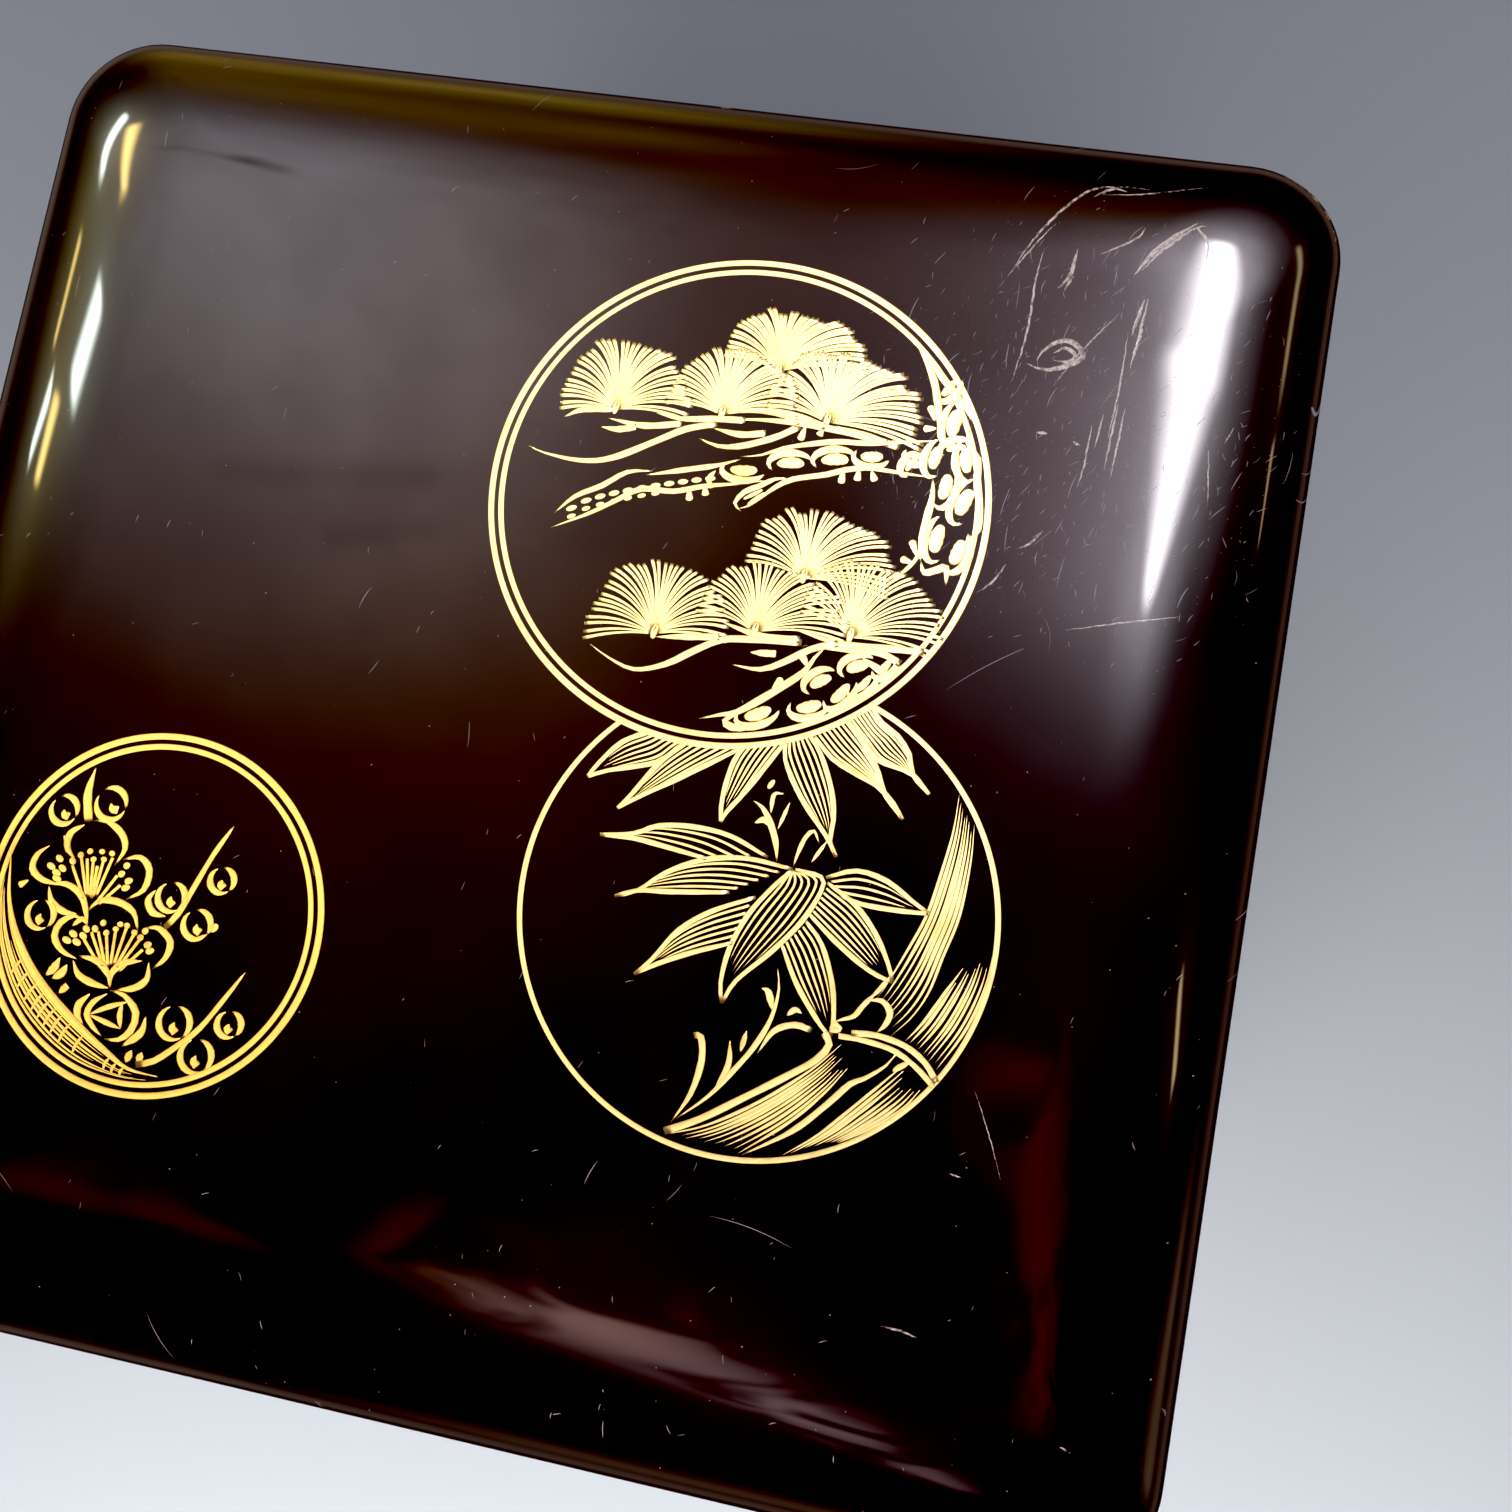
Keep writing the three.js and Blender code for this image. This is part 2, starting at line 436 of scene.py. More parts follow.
def mirrored_lamp(name, first, last, degrees, widths, radiance, colour):
    """A strip lamp whose mirror image runs from one spot on the lid to another, both in millimetres."""
    ends = [spot + lamp_distance * direction for spot, direction in (mirrored(*first), mirrored(*last))]
    middle = (ends[0] + ends[1]) / 2
    along = ends[1] - ends[0]
    width = 2 * lamp_distance * math.radians(degrees)
    lamp = area_lamp(name, middle, Vector((0, 0, lid_high.z)), along, along.length, width, radiance, colour)
    lamp.visible_diffuse = False
    soften(lamp, *widths)
    print(name, "hangs at", [round(v, 2) for v in middle], "m,", round(along.length, 2), "m long")


white = (1.0, 1.0, 1.0)
lilac = (1.0, 0.93, 0.99)
greenish = (0.88, 1.0, 0.90)
amber = (1.0, 0.72, 0.22)
tan = (1.0, 0.78, 0.42)

# Each lamp: its image's first and last spot in mm, half width in degrees, the shares of that width at its
# two ends, its strength and its colour.
mirrored_lamp("streak_high", (79.7, 82.5), (78.9, 58), 9.5, (0.35, 1.0), 34, lilac)
mirrored_lamp("streak_low", (79.1, 67), (76.8, 27), 9.0, (1.0, 0.12), 30, lilac)
mirrored_lamp("left_pane_high", (-83.3, 82), (-85.2, 70), 2.2, (0.8, 1.0), 34, greenish)
mirrored_lamp("left_pane_low", (-80.0, 54), (-80.9, 36), 3.6, (0.8, 1.0), 36, greenish)
mirrored_lamp("left_pane_last", (-84.6, 39), (-85.6, 26), 2.0, (1.0, 0.7), 26, greenish)
mirrored_lamp("left_amber_high", (-81.8, 80.5), (-80.0, 67), 2.6, (1.0, 0.7), 24, amber)
mirrored_lamp("left_amber_low", (-83.2, 37.5), (-83.2, 22), 2.8, (1.0, 0.7), 24, amber)
mirrored_lamp("left_amber_side", (-86.1, 63), (-86.1, 43), 1.6, (1.0, 0.8), 14, amber)
mirrored_lamp("right_line_high", (90.1, 84), (90.8, 58), 2.6, (1.0, 0.7), 5, tan)
mirrored_lamp("right_line_mid", (90.7, 56), (90.7, 40), 1.4, (1.0, 0.4), 7, tan)
mirrored_lamp("right_line_low", (88.8, -17), (90.1, -33), 1.4, (0.8, 1.0), 10, tan)

floor_lamp_place = Vector((0.08, -0.46, 0.40))
floor_lamp_target = Vector((0.06, -0.36, 0))
floor_lamp_spread = 130
floor_lamp = area_lamp(
    "floor_lamp", floor_lamp_place, floor_lamp_target, rightwards,
    length=0.7, width=0.25, radiance=4.3, colour=white,
)
floor_lamp.data.spread = math.radians(floor_lamp_spread)
floor_lamp.visible_glossy = False
floor.visible_glossy = False

# %% [markdown]
# ### Lamps for the raised lines alone
#
# Gold needs something bright to mirror, but a bright panel above would turn the whole lid grey. Light
# linking solves it: two wide warm panels, one high above and one where the plum roundel mirrors it, light
# only what lies on the lid as a line of its own. That is the gold, and later the long scratches and chips.

# %% Lamps for the raised lines
raised_lines = bpy.data.collections.new("raised_lines")
gold_lamp = area_lamp(
    "gold_lamp", Vector((-0.10, 0.25, 1.1)), Vector((0, 0, 0.19)), rightwards,
    length=1.5, width=1.5, radiance=1.0, colour=(1.0, 0.90, 0.68),
)
plum_spot, plum_mirrored = mirrored(-50, -35)
plum_lamp = area_lamp(
    "plum_lamp", plum_spot + lamp_distance * plum_mirrored, plum_spot, rightwards,
    length=0.9, width=0.9, radiance=1.0, colour=(1.0, 0.86, 0.60),
)
for lamp in (gold_lamp, plum_lamp):
    lamp.light_linking.receiver_collection = raised_lines

# %% [markdown]
# ## The picture's tones
#
# The photograph has strong contrast: its blacks are cut off, a little less in red than in green and blue,
# which is why the lacquer's darks look maroon. The view settings do the same, with a plain transform and a
# small black level for each colour.

# %% View settings
black_levels = (0.005, 0.014, 0.013)
view = bpy.context.scene.view_settings
view.view_transform = "Standard"
view.use_curve_mapping = True
view.curve_mapping.black_level = black_levels
view.curve_mapping.update()
print("view transform", view.view_transform, "black level", black_levels)

# %% [markdown]
# ## Effects that several finishes share
#
# Scratches, dust, smears and rubbed edges turn up on several surfaces, so each is a node group with named
# inputs, built once. A group puts out only a mask. The material that uses it decides what the mask does to
# colour, roughness and bump.

# %% Starting a node group
def start_group(name, inputs):
    """An empty node group with number inputs, plus a vector to read places from, and one mask output."""
    tree = bpy.data.node_groups.new(name, "ShaderNodeTree")
    tree.interface.new_socket("Vector", in_out="INPUT", socket_type="NodeSocketVector")
    for label, value in inputs.items():
        socket = tree.interface.new_socket(label, in_out="INPUT", socket_type="NodeSocketFloat")
        socket.default_value = value
    tree.interface.new_socket("Mask", in_out="OUTPUT", socket_type="NodeSocketFloat")
    wiring = Wiring(tree)
    given = wiring.add("NodeGroupInput").outputs
    wiring.result = wiring.add("NodeGroupOutput").inputs["Mask"]
    return tree, wiring, given


# %% [markdown]
# ### Short scratches
#
# One way to scratch a surface is an image of scratches, but that is flat and repeats. Here space is cut
# into random cells. Each cell holds one thin line through its middle, turned by its own chance, shorter or
# longer, slightly bent, and only some of the cells keep theirs.

# %% Node group: short scratches
def build_scratches():
    inputs = {"Cell": 0.006, "Width": 0.00012, "Length": 0.9, "Share": 0.3}
    inputs.update({"Lean": 1.2, "Spread": 1.0, "Seed": 0})
    tree, w, given = start_group("short_scratches", inputs)
    shifted = w.vector("ADD", given["Vector"], given["Seed"])
    scaled = w.vector("DIVIDE", shifted, given["Cell"])
    cells = w.add("ShaderNodeTexVoronoi", {"Vector": scaled, "Scale": 1.0}, voronoi_dimensions="2D").outputs
    chance = w.add("ShaderNodeSeparateColor", {"Color": cells["Color"]}).outputs
    offset = w.vector("SUBTRACT", scaled, cells["Position"])
    swing = w.math("MULTIPLY", w.math("SUBTRACT", chance[0], 0.5), given["Spread"])
    angle = w.math("ADD", given["Lean"], swing)
    turn = {"Vector": offset, "Angle": angle}
    turned = w.add("ShaderNodeVectorRotate", turn, rotation_type="Z_AXIS", invert=True)
    local = w.add("ShaderNodeSeparateXYZ", {"Vector": turned.outputs[0]}).outputs
    reach = w.math("MULTIPLY", given["Length"], w.math("MULTIPLY_ADD", chance[1], 0.4, 0.12))
    along = w.math("DIVIDE", local["X"], reach)
    squared = w.math("MULTIPLY", along, along)
    bent = w.math("MULTIPLY", squared, w.math("MULTIPLY", w.math("SUBTRACT", chance[2], 0.5), 0.12))
    aside = w.math("ABSOLUTE", w.math("ADD", local["Y"], bent))
    thick = w.math("DIVIDE", given["Width"], given["Cell"])
    taper = w.math("SUBTRACT", 1.0, squared, clamp=True)
    line = w.fade(aside, 0.0, w.math("MULTIPLY", thick, taper), 1.0, 0.0)
    inside = w.math("LESS_THAN", w.math("ABSOLUTE", along), 1.0)
    kept = w.math("LESS_THAN", w.math("FRACT", w.math("MULTIPLY", chance[0], 7.31)), given["Share"])
    strength = w.math("MULTIPLY_ADD", chance[2], 0.7, 0.3)
    drawn = w.math("MULTIPLY", line, inside)
    w.feed(w.result, w.math("MULTIPLY", drawn, w.math("MULTIPLY", kept, strength)))
    return tree


scratches = build_scratches()
print("node group", scratches.name, "with", len(scratches.nodes), "nodes")


# %% [markdown]
# ### Dust
#
# Dust shows on black lacquer as tiny pale specks. It is the same cell idea with a dot in place of the line.

# %% Node group: dust specks
def build_dust():
    tree, w, given = start_group("dust_specks", {"Cell": 0.003, "Size": 0.0001, "Share": 0.3, "Seed": 0})
    shifted = w.vector("ADD", given["Vector"], given["Seed"])
    scaled = w.vector("DIVIDE", shifted, given["Cell"])
    cells = w.add("ShaderNodeTexVoronoi", {"Vector": scaled, "Scale": 1.0}, voronoi_dimensions="2D").outputs
    chance = w.add("ShaderNodeSeparateColor", {"Color": cells["Color"]}).outputs
    size = w.math("MULTIPLY", w.math("DIVIDE", given["Size"], given["Cell"]), w.math("ADD", chance[1], 0.4))
    dot = w.fade(cells["Distance"], w.math("MULTIPLY", size, 0.5), size, 1.0, 0.0)
    kept = w.math("LESS_THAN", chance[0], given["Share"])
    w.feed(w.result, w.math("MULTIPLY", dot, kept))
    return tree


dust = build_dust()
print("node group", dust.name, "with", len(dust.nodes), "nodes")


# %% [markdown]
# ### Smears and rubbed edges
#
# A hand leaves smears: wide, soft patches where the gloss is dulled. Rubbed edges follow the shape instead,
# so the mesh carries a number called rubbed, high along rims and arrises, and the group breaks it up with
# grain so that the wear comes and goes along the edge.

# %% Node groups: smears and rubbed edges
def build_smears():
    inputs = {"Size": 0.05, "Low": 0.45, "High": 0.75, "Stretch": 1.0, "Seed": 0}
    tree, w, given = start_group("smears", inputs)
    shifted = w.vector("ADD", given["Vector"], given["Seed"])
    stretched = w.add("ShaderNodeCombineXYZ", {"X": 1.0, "Y": given["Stretch"], "Z": 1.0}).outputs[0]
    scaled = w.vector("MULTIPLY", w.vector("DIVIDE", shifted, given["Size"]), stretched)
    noise = w.add("ShaderNodeTexNoise", {"Vector": scaled, "Scale": 1.0, "Detail": 3.0, "Roughness": 0.62})
    w.feed(w.result, w.fade(noise.outputs[0], given["Low"], given["High"]))
    return tree


def build_rubbing():
    tree, w, given = start_group("rubbed_edge", {"Rubbed": 0.0, "Amount": 0.5, "Grain": 0.002})
    scaled = w.vector("DIVIDE", given["Vector"], given["Grain"])
    fine = w.add("ShaderNodeTexNoise", {"Vector": scaled, "Scale": 1.0, "Detail": 2.0}).outputs[0]
    wide = w.add("ShaderNodeTexNoise", {"Vector": scaled, "Scale": 0.09, "Detail": 1.0}).outputs[0]
    chance = w.math("MULTIPLY_ADD", wide, 0.6, w.math("MULTIPLY", fine, 0.4))
    needed = w.math("SUBTRACT", 1.15, w.math("MULTIPLY", given["Amount"], given["Rubbed"]))
    w.feed(w.result, w.fade(chance, w.math("SUBTRACT", needed, 0.05), w.math("ADD", needed, 0.05)))
    return tree


smears = build_smears()
rubbing = build_rubbing()
print("node groups", smears.name, "and", rubbing.name)


# %% [markdown]
# ### Starting a finish
#
# Every finish begins alike: a Principled shader, and the place on the object for its patterns to read. An
# unwrapped picture could stretch or show a seam on such a shape, and places on the object don't.

# %% Starting a finish, and placing a group in it
def new_finish(name):
    """A material with its shader, the wiring for it, and the place on the object that patterns read."""
    material = bpy.data.materials.new(name)
    material.use_nodes = True
    shader = material.node_tree.nodes["Principled BSDF"]
    wiring = Wiring(material.node_tree)
    return material, shader, wiring, wiring.add("ShaderNodeTexCoord").outputs["Object"]


def use_group(wiring, tree, place, **values):
    """Adds one copy of a node group and gives back its mask. Names stand for inputs, in lower case."""
    made = wiring.add("ShaderNodeGroup", node_tree=tree)
    wiring.feed(made.inputs["Vector"], place)
    for name, value in values.items():
        wiring.feed(made.inputs[name.capitalize()], value)
    return made.outputs["Mask"]


# %% [markdown]
# ## Dark lacquer
#
# Polished lacquer has two looks at once: a sharp mirror image from its hard skin, and a soft halo round
# bright lights from thousands of hairline marks. The Principled shader gives both with a smooth coat over a
# duller base. Scratches and dust are pale in the base colour, and they break the coat.
#
# Their cells are flat, so they need two numbers to read. The plan's x and y would draw stripes down every
# wall, because a wall changes in height only. Adding a part of the height to both numbers cures that.

# %% Dark lacquer
base_ior = 1.28
coat_ior = 1.50
coat_blur = 0.045
lacquer_black = (0.0020, 0.0010, 0.0010, 1)
lacquer_maroon = (0.0060, 0.0012, 0.0010, 1)
bared_ground = (0.30, 0.17, 0.075, 1)
scratch_pale = (0.95, 0.82, 0.86, 1)
dust_pale = (0.62, 0.52, 0.42, 1)
worn_middle = (64 * MM, 52 * MM, 0)
worn_reach = 40 * MM
height_share = 0.7


def build_dark_lacquer(name, scratch_share, worn_patch):
    material, shader, w, place = new_finish(name)
    rubbed = w.add("ShaderNodeAttribute", attribute_name="rubbed").outputs["Fac"]
    axes = w.add("ShaderNodeSeparateXYZ", {"Vector": place}).outputs
    raised = w.math("MULTIPLY", axes["Z"], height_share)
    slanted = {"X": w.math("ADD", axes["X"], raised), "Y": w.math("ADD", axes["Y"], raised)}
    laid_out = w.add("ShaderNodeCombineXYZ", slanted).outputs[0]

    tint = use_group(w, smears, place, size=0.045, low=0.40, high=0.72, seed=3.0)
    colour = w.blend(tint, lacquer_black, lacquer_maroon)

    if worn_patch:
        flat = w.vector("MULTIPLY", place, (1, 1, 0))
        away = w.vector("DISTANCE", flat, worn_middle)
        worn = w.fade(away, worn_reach, worn_reach * 0.25)
    else:
        worn = w.math("MULTIPLY", tint, 0.3)
    kinds = [
        dict(cell=0.0017, width=0.00007, length=1.0, lean=1.25, spread=1.6, seed=1.0),
        dict(cell=0.0042, width=0.00009, length=1.2, lean=1.30, spread=0.9, seed=7.0),
        dict(cell=0.0150, width=0.00007, length=1.2, lean=0.90, spread=3.0, seed=13.0),
    ]
    # Shares of the cells that hold a scratch of each kind: added by wear, and everywhere
    shares = [(0.50, 0.012), (0.55, 0.008), (0.25, 0.035)]
    marks = 0.0
    for kind, (by_wear, everywhere) in zip(kinds, shares):
        share = w.math("MULTIPLY_ADD", worn, by_wear * scratch_share, everywhere * scratch_share)
        marks = w.math("MAXIMUM", marks, use_group(w, scratches, laid_out, share=share, **kind))
    specks = use_group(w, dust, laid_out, cell=0.0035, size=0.00009, share=0.10, seed=5.0)
    grit_share = w.math("MULTIPLY", worn, 0.40)
    grit = use_group(w, dust, laid_out, cell=0.0009, size=0.00005, share=grit_share, seed=9.0)
    specks = w.math("MAXIMUM", specks, grit)
    bare = use_group(w, rubbing, place, rubbed=rubbed, amount=0.54, grain=0.0016)

    colour = w.blend(marks, colour, scratch_pale)
    colour = w.blend(specks, colour, dust_pale)
    colour = w.blend(bare, colour, bared_ground)
    dulled = w.math("MAXIMUM", w.math("MAXIMUM", marks, specks), bare)
    roughness = w.math("MULTIPLY_ADD", tint, 0.05, 0.22)
    roughness = w.math("MULTIPLY_ADD", worn, 0.05, roughness)
    roughness = w.math("MULTIPLY_ADD", dulled, 0.35, roughness, clamp=True)
    coat = w.math("SUBTRACT", 1.0, w.math("MULTIPLY", dulled, 0.85), clamp=True)

    ripple = w.add("ShaderNodeTexNoise", {"Vector": place, "Scale": 22.0, "Detail": 1.0}).outputs[0]
    bump = w.add("ShaderNodeBump", {"Height": ripple, "Strength": 0.10, "Distance": 0.0003})

    w.feed(shader.inputs["Base Color"], colour)
    w.feed(shader.inputs["Roughness"], roughness)
    w.feed(shader.inputs["Coat Weight"], coat)
    w.feed(shader.inputs["Normal"], bump.outputs[0])
    shader.inputs["IOR"].default_value = base_ior
    shader.inputs["Coat Roughness"].default_value = coat_blur
    shader.inputs["Coat IOR"].default_value = coat_ior
    return material


lid_lacquer = build_dark_lacquer("lid_dark_lacquer", 1.0, True)
tier_lacquer = build_dark_lacquer("tier_dark_lacquer", 0.6, False)
print("dark lacquer made:", lid_lacquer.name, tier_lacquer.name)


# %% [markdown]
# ## Red lacquer
#
# The insides are vermilion, a satin lacquer that is brushed on and hardly polished. It needs less: faint
# brush streaks, a little cloudiness, and a softer gloss.

# %% Red lacquer
vermilion = (0.40, 0.045, 0.020, 1)
pale_vermilion = (0.47, 0.062, 0.028, 1)
brush_shade = (0.30, 0.03, 0.015, 1)


def build_red_lacquer():
    material, shader, w, place = new_finish("inside_red_lacquer")
    cloud = use_group(w, smears, place, size=0.03, low=0.35, high=0.70, seed=2.0)
    streak = use_group(w, smears, place, size=0.004, low=0.30, high=0.75, stretch=0.08, seed=4.0)
    colour = w.blend(cloud, vermilion, pale_vermilion)
    colour = w.blend(w.math("MULTIPLY", streak, 0.15), colour, brush_shade)
    bump = w.add("ShaderNodeBump", {"Height": streak, "Strength": 0.12, "Distance": 0.0003})
    w.feed(shader.inputs["Base Color"], colour)
    w.feed(shader.inputs["Roughness"], w.math("MULTIPLY_ADD", cloud, 0.10, 0.24))
    w.feed(shader.inputs["Normal"], bump.outputs[0])
    return material


red_lacquer = build_red_lacquer()
print("red lacquer made:", red_lacquer.name)

# %% [markdown]
# ## Turning a section round the box
#
# Tiers and lid are both closed walls round a square with rounded corners. Extruding a plan would give
# vertical walls only, so the section is walked point by point instead: each point is one ring round the
# box, and neighbouring rings are joined by faces. Fine steps matter here, because a mirror finish shows
# every flat.

# %% Rings round the box
corner_steps = 14
side_steps = 26
quarter_turn = math.pi / 2


def outline(inset, radius):
    """One closed outline round the box, counter-clockwise, as an array of plan points."""
    straight = half - inset - radius
    points = []
    for corner in range(4):
        start = corner * quarter_turn
        spin = np.array([[math.cos(start), -math.sin(start)], [math.sin(start), math.cos(start)]])
        angles = start + np.linspace(0, quarter_turn, corner_steps + 1)
        arc = spin @ np.array([straight, straight]) + radius * np.stack([np.cos(angles), np.sin(angles)], 1)
        along = spin @ np.array([-2 * straight, 0])
        shares = np.arange(1, side_steps)[:, None] / side_steps
        points += [arc, arc[-1] + along * shares]
    return np.vstack(points)


def wall_ring(inset, height):
    """A ring of the side, the foot or the inside, at one height or following a height function."""
    flat = outline(inset, max(corner_radius - inset, tightest_corner))
    level = height(flat[:, 0], flat[:, 1]) if callable(height) else np.full(len(flat), height)
    return np.column_stack([flat, level])


def top_ring(inset):
    """A ring on the lid's top: the outer plan made smaller about its centre."""
    flat = outline(inset, corner_radius * (1 - inset / half))
    return np.column_stack([flat, lid_top(flat[:, 0], flat[:, 1])])


def quarter(inset_centre, height_centre, radius, start_angle, end_angle, steps):
    """Points of a quarter round in a section, as pairs of inset and height."""
    angles = np.linspace(start_angle, end_angle, steps + 1)
    return [(inset_centre + radius * math.cos(a), height_centre + radius * math.sin(a)) for a in angles]


print("points in a ring:", len(outline(0, corner_radius)))


# %% [markdown]
# ### From rings to one mesh
#
# A point in the middle closes the stack of rings at either end, so outside and inside are one skin. Two
# things ride on it: a number that says how rubbed an edge is, and the bands of faces that are red.

# %% Closing rings into one mesh
def closed_loft(name, first_point, rings, rubbed, inside, last_point, materials):
    """Joins rings into one closed mesh. rubbed is a number for each ring, inside tells the red bands."""
    count = len(rings[0])
    points = np.vstack([[first_point]] + rings + [[last_point]])
    last = len(points) - 1
    around = np.arange(count)
    following = (around + 1) % count
    faces = [(0, 1 + b, 1 + a) for a, b in zip(around, following)]
    band_of_face = [0] * count
    for k in range(len(rings) - 1):
        low = 1 + k * count
        high = low + count
        faces += [(low + a, low + b, high + b, high + a) for a, b in zip(around, following)]
        band_of_face += [k] * count
    top = 1 + (len(rings) - 1) * count
    faces += [(top + a, top + b, last) for a, b in zip(around, following)]
    band_of_face += [len(rings) - 1] * count
    mesh = bpy.data.meshes.new(name)
    mesh.from_pydata(points.tolist(), [], [tuple(int(i) for i in face) for face in faces])
    for material in materials:
        mesh.materials.append(material)
    mesh.polygons.foreach_set("material_index", [int(inside[band]) for band in band_of_face])
    values = np.concatenate([[rubbed[0]], np.repeat(rubbed, count), [rubbed[-1]]])
    mesh.attributes.new("rubbed", "FLOAT", "POINT").data.foreach_set("value", values.astype(np.float32))
    mesh.shade_smooth()
    mesh.update()
    piece = bpy.data.objects.new(name, mesh)
    bpy.context.scene.collection.objects.link(piece)
    print(name, "has", len(mesh.polygons), "faces")
    return piece


# %% [markdown]
# ## The three tiers
#
# A tier is a shallow tray: straight walls, rounded rims, a floor that runs into the walls in a soft curve,
# and underneath a foot set in from the side, which drops into the mouth below. The section is walked from
# under the floor, round the foot, up the outside, over the rim and down the inside.

# %% Tiers
round_steps = 5
fillet_steps = 10
wear_fade = 2 * MM  # how far from a rounded edge a flat wall's wear has faded out


def build_tier(name, level):
    foot_outer = mouth_inset
    foot_inner = mouth_inset + foot_width
    sole = -foot_depth
    floor_under = sole + foot_recess
    floor_top = floor_under + floor_thickness
    q = quarter_turn
    r = edge_round
    walk = [((foot_inner, floor_under), 0.0, False), ((foot_inner, sole), 0.6, False)]
    walk += [(p, 0.9, False) for p in quarter(foot_outer + r, sole + r, r, -q, -2 * q, round_steps)]
    walk += [((foot_outer, 0), 0.0, False)]
    walk += [(p, 0.9, False) for p in quarter(r, r, r, -q, -2 * q, round_steps)]
    walk += [((0, r + wear_fade), 0.0, False), ((0, tier_height - r - wear_fade), 0.0, False)]
    walk += [(p, 1.0, False) for p in quarter(r, tier_height - r, r, 2 * q, q, round_steps)]
    rim_inside = quarter(wall_thickness - r, tier_height - r, r, q, 0, round_steps)
    walk += [(p, 0.8, i > 1) for i, p in enumerate(rim_inside)]
    f = floor_fillet
    fillet = quarter(wall_thickness + f, floor_top + f, f, -2 * q, -q, fillet_steps)
    walk += [(p, 0.0, True) for p in fillet]
    rings = [wall_ring(inset, level + height) for (inset, height), _, _ in walk]
    rubbed = [value for _, value, _ in walk]
    inside = [red for _, _, red in walk]
    under = (0, 0, level + floor_under)
    above = (0, 0, level + floor_top)
    finishes = [tier_lacquer, red_lacquer]
    return closed_loft(f"{name}_lacquered", under, rings, rubbed, inside, above, finishes)


tiers = {}
for name in tier_names:
    tiers[name] = build_tier(name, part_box(name)[0].z + foot_depth)

# %% [markdown]
# ## The lid
#
# The lid's outside is the pillow from the formula above. Its ceiling runs one board's thickness below, and
# a lip inside the edge drops into the upper tier. The walk starts in the middle of the ceiling and ends in
# the middle of the top.

# %% Lid
ceiling_steps = 14
shoulder_steps = 54
crown_steps = 22
arris_reach = 3 * MM
arris_wear = 0.75


def ceiling(x, y):
    return lid_top(x, y) - lid_board


def build_lid():
    lip_outer = mouth_inset
    lip_inner = mouth_inset + lip_width
    q = quarter_turn
    walk = []
    insets = half + np.linspace(0, 1, ceiling_steps + 1)[1:] * (lip_inner - half)
    walk += [(wall_ring(inset, ceiling), 0.0, True) for inset in insets]
    lip = quarter(lip_inner - lip_round, lip_round - lip_depth, lip_round, 0, -q, round_steps)
    lip += quarter(lip_outer + lip_round, lip_round - lip_depth, lip_round, -q, -2 * q, round_steps)
    walk += [(wall_ring(inset, lid_level + z), 0.6, i < round_steps) for i, (inset, z) in enumerate(lip)]
    walk += [(wall_ring(lip_outer, lid_level), 0.0, False)]
    lower_edge = quarter(edge_round, edge_round, edge_round, -q, -2 * q, round_steps)
    walk += [(wall_ring(inset, lid_level + z), 1.0, False) for inset, z in lower_edge]
    walk += [(wall_ring(0, lid_level + edge_round + wear_fade), 0.0, False)]
    for k in range(shoulder_steps + 1):
        inset = shoulder_run * (1 - math.cos(k / shoulder_steps * q))
        arris = max(1 - inset / arris_reach, 0)
        walk.append((top_ring(inset), arris_wear * arris, False))
    for k in range(1, crown_steps):
        walk.append((top_ring(shoulder_run + k / crown_steps * (half - shoulder_run)), 0.0, False))
    rings = [ring for ring, _, _ in walk]
    rubbed = [value for _, value, _ in walk]
    inside = [red for _, _, red in walk]
    middle = float(lid_top(0, 0))
    first = (0, 0, middle - lid_board)
    last = (0, 0, middle)
    finishes = [lid_lacquer, red_lacquer]
    return closed_loft("lid_lacquered", first, rings, rubbed, inside, last, finishes)


lid = build_lid()

# %% [markdown]
# ## Gold in engraved lines
#
# On the real lid a knife cuts fine grooves, lacquer is rubbed into them, and gold leaf or powder sticks
# there. Cutting some 700 grooves into the lid's mesh would make it enormous. Each line is a ribbon of its
# own instead: a shallow gutter that lies on the lid, a few hundredths of a millimetre proud, closed below.
# Its two banks catch the light differently, as a groove's do.
#
# A line is a few given points, a width, and a shape that says how the width runs along it.

# %% Smooth lines through a few points
def smooth_line(points, spacing=1.1 * MM):
    """A smooth curve through the points, with a point about every spacing, or closer if it is short."""
    points = np.asarray(points, float)
    length = np.linalg.norm(np.diff(points, axis=0), axis=1).sum()
    spacing = min(spacing, length / 14)
    guide = np.vstack([2 * points[0] - points[1], points, 2 * points[-1] - points[-2]])
    stretches = []
    for a, b, c, d in zip(guide[:-3], guide[1:-2], guide[2:-1], guide[3:]):
        steps = max(int(np.linalg.norm(c - b) / spacing), 2)
        t = np.linspace(0, 1, steps, endpoint=False)[:, None]
        straight = 2 * b + (c - a) * t
        curved = (2 * a - 5 * b + 4 * c - d) * t ** 2 + (3 * b - a - 3 * c + d) * t ** 3
        stretches.append(0.5 * (straight + curved))
    return np.vstack(stretches + [points[-1:]])


def finer(path, times):
    """The same path with more points."""
    known = np.arange(len(path))
    wanted = np.linspace(0, len(path) - 1, (len(path) - 1) * times + 1)
    return np.column_stack([np.interp(wanted, known, path[:, k]) for k in (0, 1)])


def walked_along(path):
    """How far along a path each of its points lies."""
    return np.concatenate([[0], np.cumsum(np.linalg.norm(np.diff(path, axis=0), axis=1))])


def even(t):
    return np.ones_like(t)


def pointed(t):
    return np.clip((1 - t) / 0.45, 0.05, 1) ** 0.75


def blunt(t):
    return np.clip((1 - t) / 0.14, 0.05, 1) ** 0.6 * (1 - 0.35 * t)


def both_pointed(t):
    return np.clip(np.minimum(t, 1 - t) / 0.35, 0.05, 1) ** 0.75


def lens(t):
    return np.sqrt(np.clip(4 * t * (1 - t), 0.02, 1))


